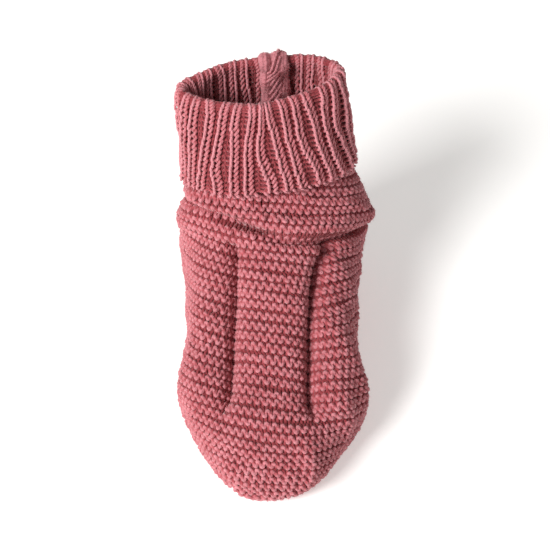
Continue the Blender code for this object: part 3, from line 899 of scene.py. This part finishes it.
def start_tree(name, sockets):
    """A Geometry Nodes tree with named inputs and one output. Returns it and its input node."""
    tree = bpy.data.node_groups.new(name, "GeometryNodeTree")
    tree.interface.new_socket("Geometry", in_out="OUTPUT", socket_type="NodeSocketGeometry")
    for label, kind in sockets:
        tree.interface.new_socket(label, in_out="INPUT", socket_type=kind)
    return tree, add_node(tree, "NodeGroupInput")


def end_tree(tree, geometry, material):
    """Ends a Geometry Nodes tree with real geometry and its material."""
    real = add_node(tree, "GeometryNodeRealizeInstances", {"Geometry": geometry})
    dyed = add_node(tree, "GeometryNodeSetMaterial", {
        "Geometry": real.outputs["Geometry"], "Material": material,
    })
    add_node(tree, "NodeGroupOutput", {"Geometry": dyed.outputs["Geometry"]})


def yarn_tree(name):
    """A tree that lays a round yarn along every line of its mesh, with its twist stored on it."""
    tree, given = start_tree(name, (
        ("Courses", "NodeSocketGeometry"),
        ("Yarn diameter", "NodeSocketFloat"),
        ("Sides", "NodeSocketInt"),
        ("Wool", "NodeSocketMaterial"),
    ))
    line = add_node(tree, "GeometryNodeMeshToCurve", {"Mesh": given.outputs["Courses"]})
    spline = add_node(tree, "GeometryNodeSplineParameter")
    measured = add_node(tree, "GeometryNodeStoreNamedAttribute", {
        "Geometry": line.outputs["Curve"], "Name": "yarn_run", "Value": spline.outputs["Length"],
    }, data_type="FLOAT", domain="POINT")
    radius = add_node(tree, "ShaderNodeMath", {
        0: given.outputs["Yarn diameter"], 1: 0.5,
    }, operation="MULTIPLY")
    ring = add_node(tree, "GeometryNodeCurvePrimitiveCircle", {
        "Resolution": given.outputs["Sides"], "Radius": radius.outputs[0],
    })
    place = add_node(tree, "GeometryNodeInputPosition")
    side = add_node(tree, "ShaderNodeVectorMath", {0: place.outputs[0]}, operation="NORMALIZE")
    sided = add_node(tree, "GeometryNodeStoreNamedAttribute", {
        "Geometry": ring.outputs["Curve"], "Name": "yarn_side", "Value": side.outputs[0],
    }, data_type="FLOAT_VECTOR", domain="POINT")
    tube = add_node(tree, "GeometryNodeCurveToMesh", {
        "Curve": measured.outputs["Geometry"],
        "Profile Curve": sided.outputs["Geometry"],
        "Fill Caps": True,
    })
    smooth = add_node(tree, "GeometryNodeSetShadeSmooth", {"Geometry": tube.outputs["Mesh"]})
    end_tree(tree, smooth.outputs["Geometry"], given.outputs["Wool"])
    return tree


def put_in_scene(name, data):
    """A new object with its data, in the scene."""
    thing = bpy.data.objects.new(name, data)
    bpy.context.scene.collection.objects.link(thing)
    return thing


def plain_piece(name, carrier, tree, values):
    """Runs a Geometry Nodes tree on an object and returns its result as a plain mesh object."""
    modifier = carrier.modifiers.new(tree.name, "NODES")
    modifier.node_group = tree
    sockets = [item for item in tree.interface.items_tree if item.in_out == "INPUT"]
    identifiers = {socket.name: socket.identifier for socket in sockets}
    for label, value in values.items():
        modifier[identifiers[label]] = value
    bpy.context.view_layer.update()
    evaluated = carrier.evaluated_get(bpy.context.evaluated_depsgraph_get())
    mesh = bpy.data.meshes.new_from_object(evaluated)
    mesh.name = name
    bpy.data.objects.remove(carrier, do_unlink=True)
    return put_in_scene(name, mesh)


def line_object(name, lines):
    """An object whose mesh is a set of open lines of points, each with how far to the front it lies."""
    ends = np.cumsum([len(line) for line in lines])
    points = np.concatenate(lines)
    joined = np.arange(len(points) - 1)
    joined = joined[~np.isin(joined, ends - 1)]
    mesh = bpy.data.meshes.new(name)
    mesh.from_pydata(points[:, :3].tolist(), np.stack([joined, joined + 1], axis=1).tolist(), [])
    front = mesh.attributes.new("yarn_front", "FLOAT", "POINT")
    front.data.foreach_set("value", points[:, 3].astype(np.float32))
    return put_in_scene(name, mesh)


def numbered(name, number, count):
    """The name of one of several pieces, or the plain name of a single one."""
    return name if count == 1 else f"{name}_{number + 1}"


def laid_yarn(name, lines, diameter, sides, material):
    """Pieces of yarn along the lines, as few as the limit on triangles allows."""
    kind = "yarn along courses"
    tree = bpy.data.node_groups.get(kind) or yarn_tree(kind)
    triangles = np.array([2 * sides * len(line) for line in lines])
    count = math.ceil(triangles.sum() / PIECE_TRIANGLES)
    share = np.cumsum(triangles) / triangles.sum() * count
    piece_of = np.minimum(np.ceil(share).astype(int), count) - 1
    pieces = []
    for number in range(count):
        label = numbered(name, number, count)
        carrier = line_object(label, [line for line, piece in zip(lines, piece_of) if piece == number])
        pieces.append(plain_piece(label, carrier, tree, {
            "Yarn diameter": diameter, "Sides": sides, "Wool": material,
        }))
    return pieces


# A fibre's radius and its least and most size, in shares of its length, and how far it tilts, in radians
FIBRE_RADIUS = 0.018
FIBRE_SIZES = (0.4, 1.2)
FIBRE_TILT = 1.1


def fuzz_tree(name):
    """A tree that scatters fine fibres over yarn, most of them where its loops come to the front."""
    tree, given = start_tree(name, (
        ("Yarn", "NodeSocketGeometry"),
        ("Spread", "NodeSocketFloat"),
        ("Length", "NodeSocketFloat"),
        ("Seed", "NodeSocketInt"),
        ("Wool", "NodeSocketMaterial"),
    ))
    front = add_node(tree, "GeometryNodeInputNamedAttribute", {"Name": "yarn_front"}, data_type="FLOAT")
    spread = add_node(tree, "ShaderNodeMath", {
        0: front.outputs["Attribute"], 1: given.outputs["Spread"],
    }, operation="MULTIPLY")
    roots = add_node(tree, "GeometryNodeDistributePointsOnFaces", {
        "Mesh": given.outputs["Yarn"], "Density": spread.outputs[0], "Seed": given.outputs["Seed"],
    })
    # One fibre, of length 1
    fibre = add_node(tree, "GeometryNodeMeshCone", {
        "Vertices": 3, "Radius Top": 0.0, "Radius Bottom": FIBRE_RADIUS, "Depth": 1.0,
    })
    turn = add_node(tree, "FunctionNodeRandomValue", {
        0: (-FIBRE_TILT, -FIBRE_TILT, 0.0), 1: (FIBRE_TILT, FIBRE_TILT, 2 * math.pi),
        "Seed": given.outputs["Seed"],
    }, data_type="FLOAT_VECTOR")
    turned = add_node(tree, "FunctionNodeEulerToRotation", {"Euler": turn.outputs[0]})
    way = add_node(tree, "FunctionNodeRotateRotation", {
        "Rotation": roots.outputs["Rotation"], "Rotate By": turned.outputs[0],
    }, rotation_space="LOCAL")
    size = add_node(tree, "FunctionNodeRandomValue", {
        2: FIBRE_SIZES[0], 3: FIBRE_SIZES[1], "Seed": given.outputs["Seed"],
    })
    length = add_node(tree, "ShaderNodeMath", {
        0: size.outputs[1], 1: given.outputs["Length"],
    }, operation="MULTIPLY")
    fibres = add_node(tree, "GeometryNodeInstanceOnPoints", {
        "Points": roots.outputs["Points"], "Instance": fibre.outputs["Mesh"],
        "Rotation": way.outputs[0], "Scale": length.outputs[0],
    })
    end_tree(tree, fibres.outputs["Instances"], given.outputs["Wool"])
    return tree


def loose_fibres(name, yarn_pieces, spread, seed, scene):
    """A piece of fuzz for each piece of yarn."""
    kind = "loose fibres"
    tree = bpy.data.node_groups.get(kind) or fuzz_tree(kind)
    material = wool(fuzz_wool, "loose rose fibres", scene.slipper_colours)
    pieces = []
    for number, yarn in enumerate(yarn_pieces):
        label = numbered(name, number, len(yarn_pieces))
        pieces.append(plain_piece(label, put_in_scene(label, yarn.data.copy()), tree, {
            "Spread": spread,
            "Length": scene.slipper_sizes.fuzz_length,
            "Seed": seed + number,
            "Wool": material,
        }))
    return pieces


# Patterns of the wool, for each metre: clouds of dye about 7 mm wide, flecks of nap about 0.7 mm wide,
# uneven dye of single fibres and loops of the wrong side, both about 2 mm wide
CLOUDS_PER_METRE = 140.0
FLECKS_PER_METRE = 1400.0
FIBRE_DYE_PER_METRE = 500.0
LOOPS_PER_METRE = 500.0
# Plies of the yarn, and the length of yarn in which they turn once
PLIES = 3
PLY_TURN = 0.005
# Parts that the yarn's front, which paints its shade and highlight, and its uneven dye have in its tone,
# and the painted shade of its back
FRONT_PART = 0.7
DYE_PART = 0.3
BACK_SHADE = -0.05
# How much the flecks stand out beside the plies
FLECK_RELIEF = 1.5
# Painted shade in the relief of the knit's loops: the share of its colour kept where the relief sinks
LOOP_SHADE_SHARE = 0.45


def new_material(name, settings):
    """A new material whose shader has these settings."""
    material = bpy.data.materials.new(name)
    material.use_nodes = True
    for socket, value in settings.items():
        material.node_tree.nodes["Principled BSDF"].inputs[socket].default_value = value
    return material


def feed_shader(tree, socket, output):
    """Links an output to a socket of the material's shader."""
    tree.links.new(output, tree.nodes["Principled BSDF"].inputs[socket])


def set_stops(ramp, *stops):
    """Gives a colour ramp its stops, each a place and a colour, in order."""
    elements = ramp.color_ramp.elements
    for place, _ in stops[1:-1]:
        elements.new(place)
    for element, (place, colour) in zip(elements, stops):
        element.position = place
        element.color = (*colour, 1.0)


def fuzz_wool(name, colours):
    """Single fibres that stand off the yarn: matt, a little see-through, and painted pale as a highlight
    where they catch the light.
    """
    material = new_material(name, {"Roughness": 0.9, "Specular IOR Level": 0.2, "Alpha": 0.7})
    tree = material.node_tree
    place = add_node(tree, "ShaderNodeTexCoord")
    dye = add_node(tree, "ShaderNodeTexNoise", {
        "Vector": place.outputs["Object"], "Scale": FIBRE_DYE_PER_METRE,
    })
    ramp = add_node(tree, "ShaderNodeValToRGB", {"Fac": dye.outputs["Fac"]})
    set_stops(ramp, (0.3, colours.rose), (0.7, colours.fibre))
    feed_shader(tree, "Base Color", ramp.outputs["Color"])
    return material


def yarn_wool(name, colours, paler=0.0):
    """Spun wool: matt, with painted shade where the yarn sinks back and a painted highlight where it comes to
    the front, with the plies of its twist and uneven dye.

    paler lifts all of it, in shares of the way from its deepest to its palest colour: painted light, for wool
    that should read more brightly lit.
    """
    material = new_material(name, {
        "Roughness": 0.88,
        "Specular IOR Level": 0.25,
        "Sheen Weight": 0.42,
        "Sheen Roughness": 0.45,
        "Sheen Tint": (*colours.sheen, 1.0),
    })
    tree = material.node_tree
    place = add_node(tree, "ShaderNodeTexCoord")
    cloud = add_node(tree, "ShaderNodeTexNoise", {
        "Vector": place.outputs["Object"], "Scale": CLOUDS_PER_METRE, "Detail": 2.0,
    })
    fleck = add_node(tree, "ShaderNodeTexNoise", {
        "Vector": place.outputs["Object"], "Scale": FLECKS_PER_METRE, "Detail": 3.0,
    })
    dye = add_node(tree, "ShaderNodeMath", {
        0: cloud.outputs["Fac"], 1: fleck.outputs["Fac"],
    }, operation="ADD")
    # Painted shade and highlight: how far to the front the yarn lies moves it between the deep and the pale
    # colour
    front = add_node(tree, "ShaderNodeAttribute", attribute_name="yarn_front")
    near = add_node(tree, "ShaderNodeMath", {
        0: front.outputs["Fac"], 1: FRONT_PART, 2: paler + BACK_SHADE,
    }, operation="MULTIPLY_ADD")
    tone = add_node(tree, "ShaderNodeMath", {
        0: dye.outputs[0], 1: DYE_PART, 2: near.outputs[0],
    }, operation="MULTIPLY_ADD")
    ramp = add_node(tree, "ShaderNodeValToRGB", {"Fac": tone.outputs[0]})
    set_stops(ramp, (0.25, colours.deep_dye_and_shade), (0.74, colours.rose), (1.0, colours.pale_dye_and_highlight))
    feed_shader(tree, "Base Color", ramp.outputs["Color"])
    # The plies wind round the yarn
    side = add_node(tree, "ShaderNodeAttribute", attribute_name="yarn_side")
    run = add_node(tree, "ShaderNodeAttribute", attribute_name="yarn_run")
    split = add_node(tree, "ShaderNodeSeparateXYZ", {0: side.outputs["Vector"]})
    around = add_node(tree, "ShaderNodeMath", {
        0: split.outputs["Y"], 1: split.outputs["X"],
    }, operation="ARCTAN2")
    plies = add_node(tree, "ShaderNodeMath", {0: around.outputs[0], 1: float(PLIES)}, operation="MULTIPLY")
    twist = add_node(tree, "ShaderNodeMath", {
        0: run.outputs["Fac"], 1: PLIES * 2 * math.pi / PLY_TURN, 2: plies.outputs[0],
    }, operation="MULTIPLY_ADD")
    wave = add_node(tree, "ShaderNodeMath", {0: twist.outputs[0]}, operation="SINE")
    relief = add_node(tree, "ShaderNodeMath", {
        0: fleck.outputs["Fac"], 1: FLECK_RELIEF, 2: wave.outputs[0],
    }, operation="MULTIPLY_ADD")
    bump = add_node(tree, "ShaderNodeBump", {
        "Height": relief.outputs[0], "Strength": 0.5, "Distance": 0.00012,
    })
    feed_shader(tree, "Normal", bump.outputs["Normal"])
    return material


def core_wool(name, colour):
    """The knit seen between and behind its stitches: a matt sheet of the given colour, with painted shade
    where its loops' relief sinks, and that relief.
    """
    material = new_material(name, {"Roughness": 0.95, "Specular IOR Level": 0.15})
    tree = material.node_tree
    place = add_node(tree, "ShaderNodeTexCoord")
    loops = add_node(tree, "ShaderNodeTexVoronoi", {
        "Vector": place.outputs["Object"], "Scale": LOOPS_PER_METRE,
    })
    ramp = add_node(tree, "ShaderNodeValToRGB", {"Fac": loops.outputs["Distance"]})
    set_stops(ramp, (0.0, colour), (1.0, [LOOP_SHADE_SHARE * channel for channel in colour]))
    feed_shader(tree, "Base Color", ramp.outputs["Color"])
    bump = add_node(tree, "ShaderNodeBump", {
        "Height": loops.outputs["Distance"], "Strength": 0.8, "Distance": -0.0006,
    })
    feed_shader(tree, "Normal", bump.outputs["Normal"])
    return material


def wool(kind, name, *settings):
    """A material by its name, made the first time that it is asked for."""
    return bpy.data.materials.get(name) or kind(name, *settings)


def wall_wools(colours):
    """Wools of a wall under the garter stitches: painted shade for its outer face, seen between the stitches,
    then the wool of the face inside the foot.
    """
    return (
        wool(core_wool, "rose wool between stitches", colours.stitch_gap_shade),
        wool(core_wool, "rose wool inside the foot", colours.inside),
    )


def finish_pieces(pieces, node):
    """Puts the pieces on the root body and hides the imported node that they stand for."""
    for piece in pieces:
        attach(piece, "root")
        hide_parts(node)


def add_strip(mesh, low, high):
    """Adds a closed strip of quads between two rings of vertices."""
    for this in range(len(low)):
        following = (this + 1) % len(low)
        mesh.faces.new((low[this], low[following], high[following], high[this]))


def add_grid(mesh, points):
    """Adds rings of points with quads between them. Returns its vertices, ring by ring."""
    grid = [[mesh.verts.new(point) for point in row] for row in points]
    for low, high in zip(grid, grid[1:]):
        add_strip(mesh, low, high)
    return grid


def mark_faces(mesh, first, material_index):
    """Gives the mesh's faces from the first one on a material, by its place in the piece's list."""
    mesh.faces.ensure_lookup_table()
    for face in mesh.faces[first:]:
        face.material_index = material_index


def add_toe_wall(mesh, under, material_index=0):
    """Adds a face of the foot from its toe tip up to its last row. Returns its top row of vertices."""
    before = len(mesh.faces)
    points = wool_form(WALL_ROWS[:, None], WALL_ANGLES[None, :], under, wall=True)
    tip = mesh.verts.new(points[0].mean(axis=0))
    grid = add_grid(mesh, points[1:])
    for this in range(len(WALL_ANGLES)):
        mesh.faces.new((tip, grid[0][(this + 1) % len(WALL_ANGLES)], grid[0][this]))
    mark_faces(mesh, before, material_index)
    return grid[-1]


def cut_flat(mesh, height, keep_above, material_index=0):
    """Cuts the mesh at a height, drops one side and closes the cut with a flat face."""
    bmesh.ops.bisect_plane(
        mesh,
        geom=mesh.verts[:] + mesh.edges[:] + mesh.faces[:],
        plane_co=(0.0, 0.0, height),
        plane_no=(0.0, 0.0, 1.0),
        clear_inner=keep_above,
        clear_outer=not keep_above,
    )
    rim = [edge for edge in mesh.edges if edge.is_boundary]
    before = len(mesh.faces)
    bmesh.ops.triangle_fill(mesh, use_beauty=True, edges=rim)
    mark_faces(mesh, before, material_index)


def mesh_piece(name, mesh, *materials):
    """Makes the mesh an object of its own, with outward faces, smooth shading and its materials."""
    bmesh.ops.recalc_face_normals(mesh, faces=mesh.faces)
    data = bpy.data.meshes.new(name)
    mesh.to_mesh(data)
    mesh.free()
    data.shade_smooth()
    for material in materials:
        data.materials.append(material)
    return put_in_scene(name, data)


# Walls under the stitches: their points round, and their rows, closer together at the toe and ending just
# past the joint
WALL_ANGLES = np.linspace(0.0, 2 * math.pi, 120, endpoint=False)
TOE_WALL_END = 3.0
WALL_END = JOINT_ROW + 0.02
TOE_WALL_ROWS = np.linspace(0.0, TOE_WALL_END, 16)
WALL_ROWS = np.concatenate([TOE_WALL_ROWS[:-1], np.linspace(TOE_WALL_END, WALL_END, 74)])
# Points along the wall under the ribs, and how deep the other walls lie under the form
RIB_WALL_POINTS = 40
WALL_DEPTH = 0.0021
# Under the cuff the wall's outer face comes up to the rib that is knitted on to it
WALL_TOP_DEPTH = 0.0002
WALL_TOP_ROWS = (HEM_ROW + 0.1, JOINT_ROW - 0.15)
FOOT_WALL_DEPTHS = WALL_DEPTH + (WALL_TOP_DEPTH - WALL_DEPTH) * smooth_step(*WALL_TOP_ROWS, WALL_ROWS)


class SLIPPER_OT_foot(bpy.types.Operator):
    """Knits the garter-stitch foot and ankle band over their wall"""

    bl_idname = "slipper.foot"
    bl_label = "Knit the foot"

    def execute(self, context):
        sizes = context.scene.slipper_sizes
        colours = context.scene.slipper_colours
        ridges = toe_edge_ridges(sizes.ridge_height) + foot_ridges(sizes.ridge_height)
        lines = garter_lines(ridges, sizes, FOOT_SEED)
        spun = wool(yarn_wool, "spun rose wool", colours)
        yarn = laid_yarn("foot_stitches", lines, sizes.garter_yarn, GARTER_SIDES, spun)
        fuzz = loose_fibres("foot_fuzz", yarn, sizes.fuzz_spread, FOOT_FUZZ_SEED, context.scene)
        mesh = bmesh.new()
        outside = add_toe_wall(mesh, FOOT_WALL_DEPTHS[:, None])
        inside = add_toe_wall(mesh, GARTER_WALL, material_index=1)
        add_strip(mesh, outside, inside)
        cut_flat(mesh, SOLE_THICKNESS + SEAM_GAP, keep_above=True)
        wall = mesh_piece("foot_wall", mesh, *wall_wools(colours))
        finish_pieces([*yarn, *fuzz, wall], "upper")
        return {"FINISHED"}


class SLIPPER_OT_sole(bpy.types.Operator):
    """Knits the flat garter-stitch sole and overcasts its edge to the foot"""

    bl_idname = "slipper.sole"
    bl_label = "Knit the sole"

    def execute(self, context):
        sizes = context.scene.slipper_sizes
        colours = context.scene.slipper_colours
        lines = garter_lines(sole_ridges(sizes.ridge_height), sizes, SOLE_SEED)
        spun = wool(yarn_wool, "spun rose wool", colours)
        yarn = laid_yarn("sole_stitches", lines, sizes.garter_yarn, SOLE_SIDES, spun)
        mesh = bmesh.new()
        mesh.faces.new(add_toe_wall(mesh, WALL_DEPTH))
        cut_flat(mesh, SOLE_THICKNESS, keep_above=False, material_index=1)
        wall = mesh_piece("sole_wall", mesh, *wall_wools(colours))
        seam = laid_yarn("sole_seam", [overcast_line()], sizes.garter_yarn, GARTER_SIDES, spun)
        finish_pieces([*yarn, wall, *seam], "sole")
        return {"FINISHED"}


class SLIPPER_OT_cuff(bpy.types.Operator):
    """Knits the turned-down rib cuff"""

    bl_idname = "slipper.cuff"
    bl_label = "Knit the cuff"

    def execute(self, context):
        sizes = context.scene.slipper_sizes
        colours = context.scene.slipper_colours
        random = np.random.default_rng(CUFF_SEED)
        spun = wool(yarn_wool, "spun rose wool of the rib", colours, RIB_PALER)
        yarn = laid_yarn("rib_stitches", rib_courses(sizes, random), sizes.rib_yarn, RIB_SIDES, spun)
        fuzz = loose_fibres("rib_fuzz", yarn, sizes.fuzz_spread, CUFF_FUZZ_SEED, context.scene)
        path = np.linspace(CUFF_INSIDE_END + SEAM_GAP, CUFF_HEM, RIB_WALL_POINTS)
        face = cuff_form(path[:, None], WALL_ANGLES[None, :], RIB_MIDDLE + RIB_RELIEF)
        lining = cuff_form(path[::-1, None], WALL_ANGLES[None, :], RIB_WALL)
        mesh = bmesh.new()
        grid = add_grid(mesh, np.concatenate([face, lining]))
        add_strip(mesh, grid[-1], grid[0])
        # The wall seen between the ribs carries painted shade
        wall = mesh_piece("rib_wall", mesh, wool(core_wool, "rose wool between ribs", colours.rib_gap_shade))
        finish_pieces([*yarn, *fuzz, wall], "cuff")
        return {"FINISHED"}


class SLIPPER_OT_back_seam(bpy.types.Operator):
    """Sews the two selvedges of the rib together at the back"""

    bl_idname = "slipper.back_seam"
    bl_label = "Sew the back seam"

    def execute(self, context):
        colours = context.scene.slipper_colours
        random = np.random.default_rng(SEAM_SEED)
        brushed = wool(yarn_wool, "brushed rose wool of the seam", colours, SEAM_PALER)
        strands = wool(yarn_wool, "sewing strands of the seam", colours, SEAM_STRAND_PALER)
        yarn = laid_yarn("seam_stitches", seam_lines(random), SEAM_YARN, GARTER_SIDES, strands)
        path = np.linspace(BACK_SEAM_START, BACK_SEAM_OUTSIDE, SEAM_GRID[0])[:, None]
        left, right = seam_rolls(path)
        across = np.linspace(right[0] - right[1], left[0] + left[1], SEAM_GRID[1], axis=1)[:, :, 0]
        angles = seam_angles(across, path)
        height = seam_height(across, path)
        near = cuff_form(path, angles, np.full_like(height, SEAM_SINK))
        far = seam_form(path, angles, height)
        mesh = bmesh.new()
        front = mesh.verts.layers.float.new("yarn_front")
        grid = add_grid(mesh, np.concatenate([far, near[:, ::-1]], axis=1))
        # Painted shade: the rolls are painted darker where they dip and paler on their crests, by their
        # height
        for ring, heights in zip(grid, height / BACK_SEAM_THICKNESS):
            for corner, share in zip(ring, heights):
                corner[front] = share
        for end in (grid[0], grid[-1]):
            mesh.faces.new(end)
        rolls = mesh_piece("seam_rolls", mesh, brushed)
        spread = context.scene.slipper_sizes.seam_fuzz_spread
        fuzz = loose_fibres("seam_fuzz", [rolls, *yarn], spread, SEAM_FUZZ_SEED, context.scene)
        finish_pieces([rolls, *yarn, *fuzz], "back_seam")
        return {"FINISHED"}


class SLIPPER_OT_stage(bpy.types.Operator):
    """Sets the pale floor, the soft light and the camera at the photograph's angle"""

    bl_idname = "slipper.stage"
    bl_label = "Set the stage"

    def execute(self, context):
        scene = context.scene
        mesh = bmesh.new()
        bmesh.ops.create_grid(mesh, x_segments=1, y_segments=1, size=FLOOR_REACH)
        data = bpy.data.meshes.new("floor")
        mesh.to_mesh(data)
        mesh.free()
        pale = (*scene.slipper_colours.floor, 1.0)
        data.materials.append(new_material("pale studio floor", {
            "Base Color": pale, "Roughness": 0.9, "Emission Color": pale, "Emission Strength": FLOOR_GLOW,
        }))
        put_in_scene("floor", data)
        scene.world = bpy.data.worlds.new("soft studio")
        scene.world.use_nodes = True
        room = scene.world.node_tree.nodes["Background"]
        room.inputs["Color"].default_value = ROOM_COLOUR
        room.inputs["Strength"].default_value = ROOM_LIGHT
        lamp = bpy.data.lights.new("key light", "AREA")
        lamp.size = KEY_LIGHT_SIZE
        lamp.energy = KEY_LIGHT_POWER
        light = put_in_scene("key light", lamp)
        light.location = KEY_LIGHT_PLACE
        light.rotation_euler = (Vector(CAMERA_AIM) - light.location).to_track_quat("-Z", "Y").to_euler()
        lens = bpy.data.cameras.new("photo camera")
        lens.sensor_fit = "HORIZONTAL"
        lens.sensor_width = SENSOR_SIDE
        lens.lens = SENSOR_SIDE * CAMERA_DISTANCE / (PHOTO_SIDE * PIXEL_SIZE)
        camera = put_in_scene("photo camera", lens)
        rise = math.radians(CAMERA_ELEVATION)
        away = Vector((0.0, -math.cos(rise), math.sin(rise)))
        camera.location = Vector(CAMERA_AIM) + CAMERA_DISTANCE * away
        camera.rotation_euler = (math.pi / 2 - rise, 0.0, 0.0)
        scene.camera = camera
        scene.view_settings.view_transform = "Standard"
        return {"FINISHED"}


class SLIPPER_PT_panel(bpy.types.Panel):
    """Lists the slipper's pieces, sizes and colours"""

    bl_idname = "SLIPPER_PT_panel"
    bl_label = "Knit Slipper"
    bl_space_type = "VIEW_3D"
    bl_region_type = "UI"
    bl_category = "Slipper"

    def draw(self, context):
        for piece in OPERATORS:
            self.layout.operator(piece.bl_idname)
        for group in (context.scene.slipper_sizes, context.scene.slipper_colours):
            for name in group.__annotations__:
                self.layout.prop(group, name)


OPERATORS = (SLIPPER_OT_foot, SLIPPER_OT_sole, SLIPPER_OT_cuff, SLIPPER_OT_back_seam, SLIPPER_OT_stage)
CLASSES = (SlipperSizes, SlipperColours, *OPERATORS, SLIPPER_PT_panel)


def register():
    for kind in CLASSES:
        bpy.utils.register_class(kind)
    bpy.types.Scene.slipper_sizes = bpy.props.PointerProperty(type=SlipperSizes)
    bpy.types.Scene.slipper_colours = bpy.props.PointerProperty(type=SlipperColours)


def unregister():
    del bpy.types.Scene.slipper_colours
    del bpy.types.Scene.slipper_sizes
    for kind in reversed(CLASSES):
        bpy.utils.unregister_class(kind)


def main():
    register()
    bpy.ops.slipper.foot()
    bpy.ops.slipper.sole()
    bpy.ops.slipper.cuff()
    bpy.ops.slipper.back_seam()
    bpy.ops.slipper.stage()


if __name__ == "__main__":
    main()
